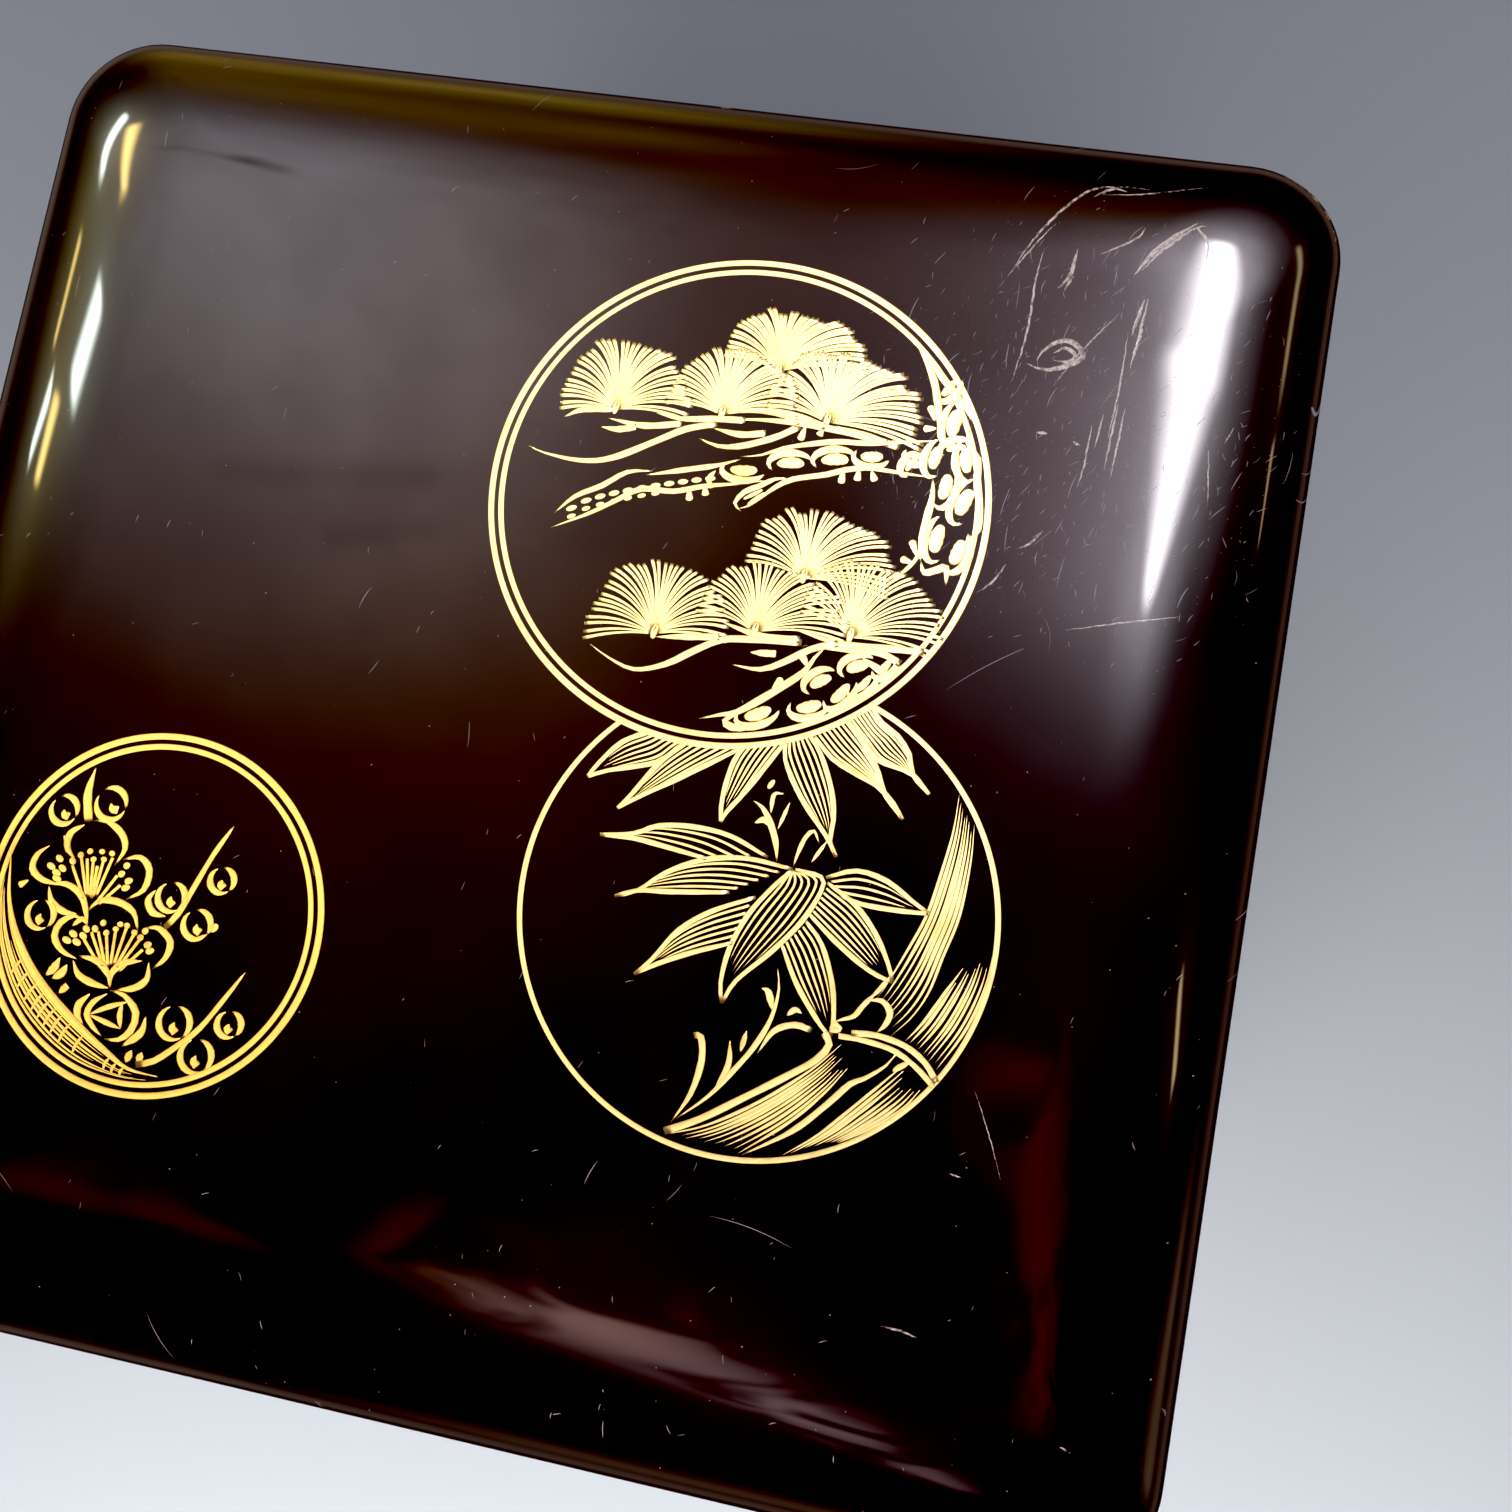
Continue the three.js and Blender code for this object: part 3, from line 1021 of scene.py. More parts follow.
def crescent(t):
    return np.clip(np.sin(math.pi * t), 0.06, 1) ** 0.8


def drop(t):
    return np.sqrt(np.clip(t, 0.02, 1)) * np.clip((1 - t) * 6, 0.05, 1) ** 0.5


print("a line through three points has", len(smooth_line([(0, 0), (0.01, 0.002), (0.02, 0)])), "points")


# %% [markdown]
# ### A roundel holds its lines
#
# Inside a roundel, places are given as shares of its radius from its centre, so the drawing keeps its
# proportions. The roundel also knows where to stop: at its own ring, and where another roundel lies over
# it.

# %% Roundel
class Roundel:
    """A circle on the lid with the lines engraved in it."""

    def __init__(self, name, centre_mm, radius_mm, seed):
        self.name = name
        self.centre = np.array(centre_mm) * MM
        self.radius = radius_mm * MM
        self.cover = None
        self.lines = []
        self.layer = 0
        self.chance = random.Random(seed)

    def spots(self, points):
        return self.centre + self.radius * np.asarray(points, float)

    def free(self, path):
        """Which points of a path lie inside the roundel and aren't covered by another one."""
        inside = np.linalg.norm(path - self.centre, axis=1) <= self.radius
        if self.cover:
            hidden = self.cover.radius - 0.5 * MM
            inside &= np.linalg.norm(path - self.cover.centre, axis=1) >= hidden
        return inside

    def engrave(self, path, width_mm, shape=even):
        """Keeps the part of a path that is free, as one line with its widths."""
        width = width_mm * MM
        free = self.free(path)
        if free.any() and not free.all():
            path = finer(path, 6)
            free = self.free(path)
        t = np.linspace(0, 1, len(path))
        widths = width * shape(t) * (1 + 0.05 * np.sin(t * 23 + self.chance.uniform(0, 6)))
        runs = np.split(np.arange(len(path)), np.flatnonzero(np.diff(free.astype(int))) + 1)
        for run in runs:
            if free[run[0]] and len(run) > 1:
                self.lines.append((path[run], widths[run], self.layer))

    def line(self, points, width_mm, shape=even):
        self.engrave(smooth_line(self.spots(points)), width_mm, shape)

    def ring(self, outer_mm, width_mm):
        """A full circle, a given distance inside the edge. It isn't cut at its own edge."""
        reach = self.radius - (outer_mm + width_mm / 2) * MM
        angles = np.linspace(0, 2 * math.pi, 241) + 0.8
        path = self.centre + reach * np.stack([np.cos(angles), np.sin(angles)], 1)
        path[-1] = path[0]
        self.engrave(path, width_mm)

    def crescent_arc(self, centre, radius, start, end, width_mm):
        """Part of a circle inside the roundel, from one angle to another in degrees."""
        steps = max(int(abs(end - start) / 14), 6)
        angles = np.radians(np.linspace(start, end, steps + 1))
        points = np.array(centre) + radius * np.stack([np.cos(angles), np.sin(angles)], 1)
        self.engrave(self.spots(points), width_mm, crescent)


pine = Roundel("gold_pine", (20.10, 35.55), 34.85, 1)
bamboo = Roundel("gold_bamboo", (32.97, -19.94), 32.20, 2)
plum = Roundel("gold_plum", (-50.19, -34.96), 25.31, 3)
bamboo.cover = pine

# %% [markdown]
# ### The rings
#
# Pine and plum have a double ring. The bamboo's is single, and it stops where the pine roundel lies over
# it.

# %% Rings
pine.ring(0.0, 0.86)
pine.ring(1.46, 0.75)
bamboo.ring(0.0, 0.72)
plum.ring(0.0, 0.95)
plum.ring(1.55, 0.80)
print("ring lines:", len(pine.lines) + len(bamboo.lines) + len(plum.lines))


# %% [markdown]
# ## Pine
#
# Pine needles stand in fans, like opened umbrellas, and they are cut in pairs. A fan is worked out from its
# root and how far it reaches to the left, up and to the right. The tips lie on a rounded outline, and every
# needle leaves the root upwards before it bends outwards.

# %% Needle fans
fan_squareness = 2.5
needle_offset = 0.22  # of the two needles of a pair from its middle, in steps from pair to pair


def rounded(value):
    return math.copysign(abs(value) ** (2 / fan_squareness), value)


def thin_root(t):
    return 0.34 + 0.66 * t


def needle_fan(roundel, root, left, up, right, pairs, width_mm, first_angle, last_angle):
    angles = np.radians(np.linspace(first_angle, last_angle, 181))
    reach = np.where(np.cos(angles) > 0, right, left)
    aside = reach * np.array([rounded(math.cos(a)) for a in angles])
    above = up * np.array([rounded(math.sin(a)) for a in angles])
    rim = np.column_stack([aside, above])
    walked = walked_along(rim)
    step = walked[-1] / pairs
    for pair in range(pairs):
        length = roundel.chance.uniform(0.93, 1.04)
        middle = pair + 0.5 + roundel.chance.uniform(-0.08, 0.08)
        for offset in (-needle_offset, needle_offset):
            at = (middle + offset) * step
            tip = np.array([np.interp(at, walked, rim[:, k]) for k in (0, 1)]) * length
            low = (abs(tip[0]) / np.linalg.norm(tip)) ** 2
            bend = tip * np.array([0.24 + 0.26 * low, 0.68]) + np.array([0, 0.15 * abs(tip[0])])
            t = np.linspace(0.04, 1, 11)[:, None]
            path = 2 * t * (1 - t) * bend + t ** 2 * tip
            roundel.engrave(roundel.spots(np.array(root) + path), width_mm, thin_root)
    x, y = root
    roundel.line([(x, y - 0.02), (x, y), (x + 0.005, y + 0.04)], 0.9, lens)
    roundel.layer += 1


# Each fan: its root, how far it reaches left, up and right, its pairs of needles, their width in mm, and
# the angles of its first and last needle in degrees.
fans = [
    ((0.07, 0.54), 0.23, 0.26, 0.36, 18, 0.57, 4, 178),
    ((-0.55, 0.29), 0.24, 0.30, 0.30, 18, 0.55, -2, 186),
    ((-0.12, 0.33), 0.23, 0.28, 0.31, 17, 0.57, 0, 180),
    ((0.30, 0.36), 0.25, 0.29, 0.38, 20, 0.57, -10, 178),
    ((0.32, -0.28), 0.24, 0.28, 0.36, 18, 0.47, -6, 178),
    ((-0.22, -0.59), 0.27, 0.29, 0.30, 18, 0.47, 0, 190),
    ((0.17, -0.52), 0.24, 0.28, 0.36, 17, 0.45, 0, 176),
    ((0.54, -0.48), 0.22, 0.30, 0.35, 17, 0.45, -6, 172),
]
for fan in fans:
    needle_fan(pine, *fan)
print("pine lines so far:", len(pine.lines))

# %% [markdown]
# ### Twigs under the needles
#
# Under each row of fans run long twigs, each one stroke of the knife: thick where it starts and drawn out
# to a point at the free end. Small drops stand for young shoots.

# %% Pine twigs
twigs = [
    [(-0.13, 0.29), (-0.25, 0.25), (-0.35, 0.19), (-0.52, 0.09), (-0.65, 0.06), (-0.80, 0.07),
     (-0.87, 0.09)],
    [(-0.27, 0.27), (-0.42, 0.24), (-0.57, 0.25)],
    [(-0.45, 0.23), (-0.52, 0.21), (-0.59, 0.21)],
    [(-0.02, 0.32), (-0.13, 0.31), (-0.28, 0.29), (-0.38, 0.30)],
    [(0.20, 0.33), (0.13, 0.28), (0.05, 0.24), (-0.03, 0.21), (-0.11, 0.20), (-0.19, 0.22)],
    [(0.07, 0.28), (-0.03, 0.26), (-0.14, 0.27)],
    [(-0.56, 0.29), (-0.68, 0.27), (-0.75, 0.23)],
    [(0.56, 0.31), (0.40, 0.33), (0.20, 0.34), (0.02, 0.33), (-0.10, 0.31)],
    [(0.30, 0.34), (0.17, 0.37), (0.04, 0.37), (-0.06, 0.35)],
    [(0.60, 0.30), (0.46, 0.33), (0.34, 0.35)],
    [(0.36, -0.53), (0.16, -0.55), (0.05, -0.57), (-0.05, -0.63), (-0.15, -0.70), (-0.27, -0.74),
     (-0.38, -0.71), (-0.46, -0.67)],
    [(0.04, -0.56), (-0.09, -0.58), (-0.21, -0.60)],
    [(0.35, -0.52), (0.20, -0.53), (0.04, -0.50)],
    [(0.50, -0.51), (0.40, -0.55), (0.30, -0.62), (0.22, -0.66), (0.11, -0.66)],
    [(0.27, -0.59), (0.17, -0.60)],
    [(0.83, -0.49), (0.67, -0.50), (0.51, -0.51), (0.31, -0.48)],
    [(0.75, -0.55), (0.66, -0.52), (0.52, -0.53), (0.42, -0.54)],
]
for points in twigs:
    pine.line(points, 0.95, pointed)

shoots = [
    ((0.22, 0.33), (0.21, 0.27)),
    ((0.29, 0.33), (0.28, 0.30)),
    ((0.40, 0.18), (0.40, 0.12)),
    ((0.46, 0.19), (0.46, 0.14)),
    ((0.51, 0.19), (0.53, 0.15)),
    ((-0.19, 0.01), (-0.18, -0.04)),
    ((-0.13, 0.03), (-0.12, -0.01)),
    ((0.73, 0.40), (0.68, 0.39)),
    ((0.72, 0.43), (0.69, 0.49)),
    ((0.73, -0.15), (0.68, -0.14)),
    ((0.74, -0.12), (0.71, -0.06)),
    ((0.28, -0.73), (0.31, -0.68)),
    ((0.40, -0.62), (0.37, -0.58)),
]
for start, end in shoots:
    pine.line([start, end], 1.15, drop)
pine.line([(0.66, -0.23), (0.70, -0.19), (0.74, -0.13), (0.75, -0.05)], 0.55, both_pointed)

# %% [markdown]
# ### Bark
#
# Old pine bark is drawn as scales: a filled oval, half held by a crescent. Trunk and branches are two free
# outlines with a row of scales between. Where the wood is young, the scales shrink to dashes.

# %% Pine trunk and branches
branch_lines = [
    [(-0.71, -0.17), (-0.64, -0.09), (-0.54, -0.03), (-0.45, 0.04), (-0.35, 0.06)],
    [(-0.37, 0.04), (-0.20, 0.09), (-0.10, 0.12), (-0.01, 0.16)],
    [(-0.01, 0.17), (0.07, 0.19), (0.15, 0.23), (0.28, 0.27), (0.37, 0.29), (0.48, 0.30), (0.74, 0.35)],
    [(-0.71, -0.23), (-0.57, -0.15), (-0.47, -0.08), (-0.38, -0.02), (-0.25, -0.01), (-0.13, 0.03),
     (0.0, 0.06), (0.11, 0.09)],
    [(0.02, -0.04), (0.06, -0.02), (0.11, 0.03), (0.15, 0.07), (0.21, 0.11), (0.34, 0.15), (0.41, 0.18),
     (0.50, 0.20), (0.62, 0.20), (0.76, 0.20)],
    [(0.03, -0.05), (-0.00, -0.02), (0.03, 0.03), (0.08, 0.06), (0.14, 0.10), (0.19, 0.11)],
]
trunk_lines = [
    [(0.60, 0.73), (0.65, 0.66), (0.69, 0.59), (0.72, 0.50), (0.74, 0.42), (0.75, 0.35)],
    [(0.64, 0.69), (0.70, 0.63), (0.77, 0.56), (0.83, 0.50), (0.87, 0.44)],
    [(0.75, 0.20), (0.76, 0.12), (0.75, -0.01), (0.75, -0.10), (0.76, -0.14)],
    [(0.86, 0.42), (0.86, 0.36), (0.91, 0.30), (0.92, 0.22), (0.95, 0.10), (0.96, 0.02), (0.94, -0.02)],
    [(0.92, 0.0), (0.93, -0.10), (0.90, -0.16), (0.86, -0.17)],
    [(0.76, -0.14), (0.78, -0.18), (0.83, -0.16), (0.86, -0.15), (0.87, -0.22)],
    [(0.02, -0.89), (0.10, -0.86), (0.16, -0.84), (0.25, -0.77), (0.33, -0.70), (0.39, -0.64),
     (0.42, -0.58), (0.45, -0.54)],
    [(0.16, -0.85), (0.12, -0.88), (0.15, -0.90), (0.24, -0.89)],
    [(0.76, -0.55), (0.72, -0.60), (0.64, -0.57), (0.60, -0.55)],
]
for points in branch_lines:
    pine.line(points, 0.80, both_pointed)
for points in trunk_lines:
    pine.line(points, 1.05, both_pointed)


def bark_scale(roundel, centre, angle, length, width_mm, side):
    """A filled oval, held by a crescent along one side."""
    a = math.radians(angle)
    ahead = np.array([math.cos(a), math.sin(a)])
    aside = np.array([-ahead[1], ahead[0]]) * side
    centre = np.array(centre)
    bow = aside * length * 0.05
    oval = [centre - ahead * length / 2, centre + bow, centre + ahead * length / 2]
    roundel.line(oval, 1.08 * width_mm, lens)
    off = (width_mm / 2 + 0.86) * MM / roundel.radius
    turns = np.radians([215, 180, 145, 110, 75, 45, 20])
    arc = [centre + ahead * math.cos(a) * length * 0.80 + aside * math.sin(a) * off for a in turns]
    roundel.line(arc, 1.15, crescent)


# Each scale: its centre, its angle in degrees, its length, its width in mm, and the crescent's side.
scales = [
    ((0.01, 0.12), 6, 0.11, 1.45, -1),
    ((0.19, 0.17), 8, 0.11, 1.50, 1),
    ((0.36, 0.21), 10, 0.11, 1.60, 1),
    ((0.50, 0.25), 8, 0.09, 1.45, -1),
    ((0.67, 0.28), 5, 0.06, 0.95, -1),
    ((0.66, 0.24), 60, 0.07, 0.80, 1),
    ((0.75, 0.57), 60, 0.08, 1.10, -1),
    ((0.80, 0.43), 84, 0.12, 1.85, 1),
    ((0.75, 0.28), 80, 0.10, 1.55, 1),
    ((0.87, 0.29), 100, 0.11, 1.60, 1),
    ((0.80, 0.17), 84, 0.11, 1.65, -1),
    ((0.89, 0.12), 72, 0.12, 1.90, 1),
    ((0.81, -0.04), 84, 0.12, 1.80, 1),
    ((0.89, -0.08), 76, 0.11, 1.75, -1),
    ((0.82, 0.33), 20, 0.08, 0.90, 1),
    ((0.24, -0.83), 28, 0.11, 1.60, -1),
    ((0.43, -0.77), 22, 0.10, 1.55, -1),
    ((0.46, -0.67), 35, 0.09, 1.45, 1),
    ((0.54, -0.70), 55, 0.10, 1.35, -1),
    ((0.59, -0.59), 25, 0.09, 1.55, 1),
    ((0.69, -0.57), 55, 0.07, 0.95, -1),
    ((0.62, -0.65), 55, 0.09, 0.95, -1),
]
for scale in scales:
    bark_scale(pine, *scale)
for start, end in (((0.03, 0.0), (0.10, 0.05)), ((0.05, -0.02), (0.11, 0.04))):
    pine.line([start, end], 0.55, lens)

dash_count = 11
for k in range(dash_count):
    t = k / (dash_count - 1)
    upper = np.array([-0.665 + 0.53 * t, -0.150 + 0.21 * t ** 0.72])
    slant = np.array([0.040, 0.020 - 0.012 * t])
    pine.line([upper, upper + slant], 0.78, lens)
    lower = upper + (0.01, -0.03)
    pine.line([lower, lower + slant * 0.8], 0.66, lens)
pine.line([(-0.10, 0.03), (-0.12, 0.06), (-0.10, 0.10)], 0.8, crescent)
print("pine lines:", len(pine.lines))


# %% [markdown]
# ## Bamboo
#
# A bamboo leaf is two outlines that meet in a drawn-out tip, with three to six veins between them. The
# veins are worked out: each is a mix of the two outlines, by a fixed share.

# %% Bamboo leaves
def between(edge_a, edge_b, share, start, end, steps=24):
    """A line between two edges, at a share of the way across, along one part of their length."""
    t = np.linspace(start, end, steps)
    walks = []
    for edge in (edge_a, edge_b):
        curve = smooth_line(edge, 0.6 * MM)
        length = walked_along(curve)
        along = length / length[-1]
        walks.append(np.column_stack([np.interp(t, along, curve[:, k]) for k in (0, 1)]))
    return walks[0] + (walks[1] - walks[0]) * share


def swelling(t):
    return 0.70 + 0.40 * np.sin(math.pi * t)


def leaf(roundel, tip, veins, edge_a, edge_b):
    """A leaf. Both edges start at its tip and run to its root."""
    edge_a = roundel.spots([tip] + edge_a)
    edge_b = roundel.spots([tip] + edge_b)
    for edge in (edge_a, edge_b):
        roundel.engrave(smooth_line(edge), 0.66, swelling)
    for k in range(veins):
        share = (k + 1) / (veins + 1)
        start = 0.16 + 0.30 * abs(share - 0.5) + roundel.chance.uniform(0, 0.05)
        path = between(edge_a, edge_b, share, start, 0.985)[::-1]
        roundel.engrave(path, 0.34, pointed)


# Each leaf: its tip, the number of veins, and its two edges from the tip to the root.
leaves = [
    (
        (-0.80, 0.44), 5,
        [(-0.76, 0.51), (-0.68, 0.61), (-0.56, 0.68), (-0.47, 0.74)],
        [(-0.72, 0.48), (-0.52, 0.55), (-0.45, 0.62), (-0.36, 0.70)],
    ),
    (
        (-0.65, 0.33), 5,
        [(-0.60, 0.40), (-0.50, 0.56), (-0.36, 0.70)],
        [(-0.56, 0.40), (-0.40, 0.51), (-0.15, 0.69)],
    ),
    (
        (-0.21, 0.35), 5,
        [(-0.22, 0.45), (-0.20, 0.61), (-0.14, 0.72)],
        [(-0.19, 0.40), (-0.12, 0.51), (0.02, 0.77)],
    ),
    (
        (0.29, 0.29), 5,
        [(0.23, 0.37), (0.10, 0.51), (0.01, 0.65), (0.00, 0.73)],
        [(0.25, 0.35), (0.25, 0.44), (0.22, 0.56), (0.15, 0.70), (0.08, 0.78)],
    ),
    (
        (0.53, 0.49), 6,
        [(0.48, 0.55), (0.40, 0.61), (0.29, 0.65), (0.20, 0.69), (0.11, 0.77)],
        [(0.44, 0.58), (0.40, 0.66), (0.32, 0.77), (0.20, 0.88)],
    ),
    (
        (0.62, 0.61), 6,
        [(0.54, 0.68), (0.46, 0.70), (0.38, 0.72), (0.31, 0.79), (0.21, 0.88)],
        [(0.54, 0.68), (0.51, 0.76), (0.45, 0.83), (0.38, 0.87), (0.30, 0.96)],
    ),
    (
        (-0.70, 0.21), 3,
        [(-0.56, 0.24), (-0.46, 0.29), (-0.32, 0.31), (-0.16, 0.30), (0.01, 0.24)],
        [(-0.56, 0.22), (-0.43, 0.21), (-0.24, 0.19)],
    ),
    (
        (-0.59, -0.03), 5,
        [(-0.50, 0.01), (-0.40, 0.10), (-0.26, 0.18), (-0.08, 0.22), (0.12, 0.21)],
        [(-0.50, 0.01), (-0.36, 0.03), (-0.12, 0.07)],
    ),
    (
        (-0.45, -0.33), 5,
        [(-0.39, -0.26), (-0.30, -0.12), (-0.18, -0.02), (-0.01, 0.07)],
        [(-0.36, -0.27), (-0.23, -0.20), (-0.07, -0.13)],
    ),
    (
        (0.39, -0.43), 5,
        [(0.34, -0.39), (0.22, -0.25), (0.13, -0.10)],
        [(0.39, -0.36), (0.36, -0.22), (0.29, -0.07), (0.21, 0.01)],
    ),
    (
        (0.60, -0.17), 6,
        [(0.50, -0.14), (0.36, -0.06), (0.22, 0.04)],
        [(0.57, -0.10), (0.50, 0.01), (0.40, 0.11), (0.27, 0.18)],
    ),
    (
        (0.70, 0.13), 3,
        [(0.62, 0.17), (0.51, 0.23), (0.38, 0.25), (0.26, 0.20)],
        [(0.56, 0.12), (0.42, 0.12), (0.33, 0.14)],
    ),
    (
        (-0.07, -0.38), 6,
        [(-0.09, -0.30), (-0.08, -0.16), (-0.03, -0.01), (0.05, 0.12), (0.12, 0.21)],
        [(-0.03, -0.28), (0.09, -0.14), (0.19, 0.0), (0.25, 0.14), (0.24, 0.20), (0.13, 0.21)],
    ),
]
for tip, veins, edge_a, edge_b in leaves:
    leaf(bamboo, tip, veins, edge_a, edge_b)
print("bamboo lines so far:", len(bamboo.lines))


# %% [markdown]
# ### Stalks
#
# The stalks are filled with long strokes side by side, with ragged ends like a dry brush. They are worked
# out as the veins are, with more lines and chance at the ends.

# %% Bamboo stalks
def hatched_band(roundel, edge_a, edge_b, lines, ragged_start, ragged_end, width_mm):
    """Long strokes from one edge to the other. Ragged is how large a share of the band an end may miss."""
    edge_a = roundel.spots(edge_a)
    edge_b = roundel.spots(edge_b)
    for k in range(lines):
        share = k / (lines - 1)
        inner = math.sin(math.pi * share) ** 0.5
        start = roundel.chance.uniform(0, ragged_start) * inner
        end = 1 - roundel.chance.uniform(0, ragged_end) * inner
        share += roundel.chance.uniform(-0.25, 0.25) / lines * inner
        width = width_mm * roundel.chance.uniform(0.75, 1.2)
        roundel.engrave(between(edge_a, edge_b, share, start, end, 30), width, both_pointed)


hatched_band(
    bamboo,
    [(0.74, 0.63), (0.74, 0.47), (0.72, 0.30), (0.69, 0.12), (0.63, -0.05), (0.57, -0.20), (0.55, -0.24)],
    [(0.82, 0.52), (0.83, 0.36), (0.82, 0.14), (0.78, -0.04), (0.75, -0.18), (0.70, -0.29), (0.63, -0.38)],
    lines=8, ragged_start=0.10, ragged_end=0.06, width_mm=0.50,
)
hatched_band(
    bamboo,
    [(0.87, -0.06), (0.82, -0.16), (0.75, -0.30), (0.69, -0.39)],
    [(0.98, 0.04), (0.97, -0.12), (0.92, -0.30), (0.83, -0.48)],
    lines=9, ragged_start=0.34, ragged_end=0.06, width_mm=0.46,
)
hatched_band(
    bamboo,
    [(0.44, -0.45), (0.33, -0.58), (0.15, -0.74), (-0.04, -0.87), (-0.20, -0.94)],
    [(0.48, -0.54), (0.40, -0.66), (0.28, -0.80), (0.10, -0.96)],
    lines=9, ragged_start=0.12, ragged_end=0.06, width_mm=0.46,
)
hatched_band(
    bamboo,
    [(0.72, -0.46), (0.62, -0.58), (0.50, -0.72), (0.40, -0.83), (0.28, -0.93)],
    [(0.78, -0.57), (0.72, -0.66), (0.62, -0.75), (0.49, -0.84)],
    lines=8, ragged_start=0.22, ragged_end=0.12, width_mm=0.42,
)

# %% [markdown]
# ### Joints and sprouts
#
# What is left are the collars of the joints, the outlines of the stalks and the young side shoots. No rule
# gives their course, so each is a few points, a width and a shape.

# %% Bamboo joints and sprouts
bamboo_strokes = [
    ([(0.47, -0.40), (0.57, -0.39), (0.69, -0.41), (0.78, -0.46), (0.84, -0.53)], 0.80, even),
    ([(0.42, -0.42), (0.53, -0.42), (0.66, -0.44), (0.77, -0.50), (0.84, -0.56)], 0.72, even),
    ([(0.67, -0.43), (0.63, -0.50), (0.55, -0.57), (0.50, -0.60), (0.42, -0.70), (0.30, -0.83),
      (0.12, -0.96)], 0.85, both_pointed),
    ([(0.36, -0.42), (0.39, -0.46), (0.35, -0.53), (0.24, -0.62), (0.08, -0.74), (-0.07, -0.85),
      (-0.21, -0.93)], 0.95, even),
    ([(0.55, -0.21), (0.50, -0.28), (0.47, -0.33), (0.43, -0.35), (0.39, -0.37)], 0.72, both_pointed),
    ([(0.39, -0.37), (0.42, -0.39), (0.41, -0.40), (0.38, -0.40)], 0.70, even),
    ([(0.51, -0.26), (0.57, -0.25), (0.61, -0.29), (0.60, -0.34), (0.57, -0.38)], 0.90, crescent),
    ([(0.72, -0.47), (0.68, -0.50), (0.66, -0.52)], 0.8, lens),
    ([(0.13, -0.20), (0.15, -0.28), (0.14, -0.40), (0.09, -0.53), (0.01, -0.66), (-0.06, -0.76),
      (-0.17, -0.87)], 0.75, both_pointed),
    ([(0.08, -0.29), (0.11, -0.30), (0.14, -0.37)], 0.95, both_pointed),
    ([(-0.16, -0.53), (-0.13, -0.53), (-0.11, -0.62), (-0.13, -0.76), (-0.19, -0.89)], 0.90, pointed),
    ([(-0.01, -0.52), (-0.00, -0.62), (-0.04, -0.74)], 0.80, both_pointed),
    ([(0.05, -0.47), (0.04, -0.56)], 0.70, both_pointed),
    ([(0.31, -0.42), (0.24, -0.41), (0.16, -0.45), (0.11, -0.55)], 0.85, pointed),
    ([(0.26, -0.36), (0.23, -0.35), (0.20, -0.38)], 0.80, both_pointed),
    ([(0.05, 0.23), (0.03, 0.31), (-0.01, 0.39), (-0.05, 0.44), (-0.09, 0.46)], 0.90, both_pointed),
    ([(-0.07, 0.37), (-0.03, 0.39), (0.01, 0.36)], 0.90, crescent),
    ([(-0.01, 0.42), (-0.01, 0.50), (0.03, 0.51)], 0.60, both_pointed),
    ([(0.03, 0.36), (0.06, 0.48)], 0.50, both_pointed),
    ([(-0.04, 0.52), (-0.02, 0.56)], 0.70, lens),
    ([(0.12, 0.22), (0.13, 0.28), (0.15, 0.35), (0.18, 0.38), (0.21, 0.33)], 0.60, both_pointed),
    ([(0.19, 0.25), (0.24, 0.35)], 0.50, both_pointed),
    ([(0.59, -0.14), (0.55, -0.21), (0.52, -0.25)], 0.60, both_pointed),
]
for points, width, shape in bamboo_strokes:
    bamboo.line(points, width, shape)
print("bamboo lines:", len(bamboo.lines))


# %% [markdown]
# ## Plum blossom
#
# Blossoms and buds are built from strokes that swell and thin like a crescent moon. Stamens fan out from
# the heart of a blossom, each with a small head. The trunk is a sickle along the ring, filled with long
# hatching and crossed by patches of shorter strokes.

# %% Plum: buds and blossoms
def bud(roundel, centre, size, opening):
    """Two crescents round a drop. opening is the angle that the bud opens to."""
    roundel.crescent_arc(centre, size, opening + 18, opening + 205, 1.00)
    roundel.crescent_arc(centre, size, opening - 12, opening - 150, 1.00)
    a = math.radians(opening + 190)
    centre = np.array(centre)
    root = centre + np.array([math.cos(a), math.sin(a)]) * size * 0.62
    side = np.array([math.sin(a), -math.cos(a)]) * size * 0.16
    stem = root - centre
    roundel.line([root, centre + stem * 0.45 + side, centre - stem * 0.05], 1.15, pointed)


def stamens(roundel, heart, tips):
    """Fine strokes from near the heart to each tip."""
    heart = np.array(heart)
    for tip in tips:
        tip = np.array(tip)
        roundel.line([heart + (tip - heart) * 0.30, tip], 0.46, even)


def stamen_heads(roundel, heart, places):
    """A small lens for each head, pointing away from the heart."""
    heart = np.array(heart)
    for place in places:
        place = np.array(place)
        ahead = (place - heart) / np.linalg.norm(place - heart)
        ahead = ahead * np.array([1.0, 0.45])
        roundel.line([place - ahead * 0.030, place + ahead * 0.036], 0.95, lens)


buds = [
    ((-0.64, 0.47), 0.08, 128),
    ((-0.37, 0.55), 0.09, 140),
    ((-0.64, -0.12), 0.08, 100),
    ((0.10, 0.11), 0.08, 105),
    ((0.37, 0.25), 0.07, 105),
    ((0.28, -0.01), 0.08, 115),
    ((0.27, -0.55), 0.09, 100),
    ((0.58, -0.50), 0.07, 100),
    ((0.43, -0.70), 0.09, 100),
]
for centre, size, opening in buds:
    bud(plum, centre, size, opening)

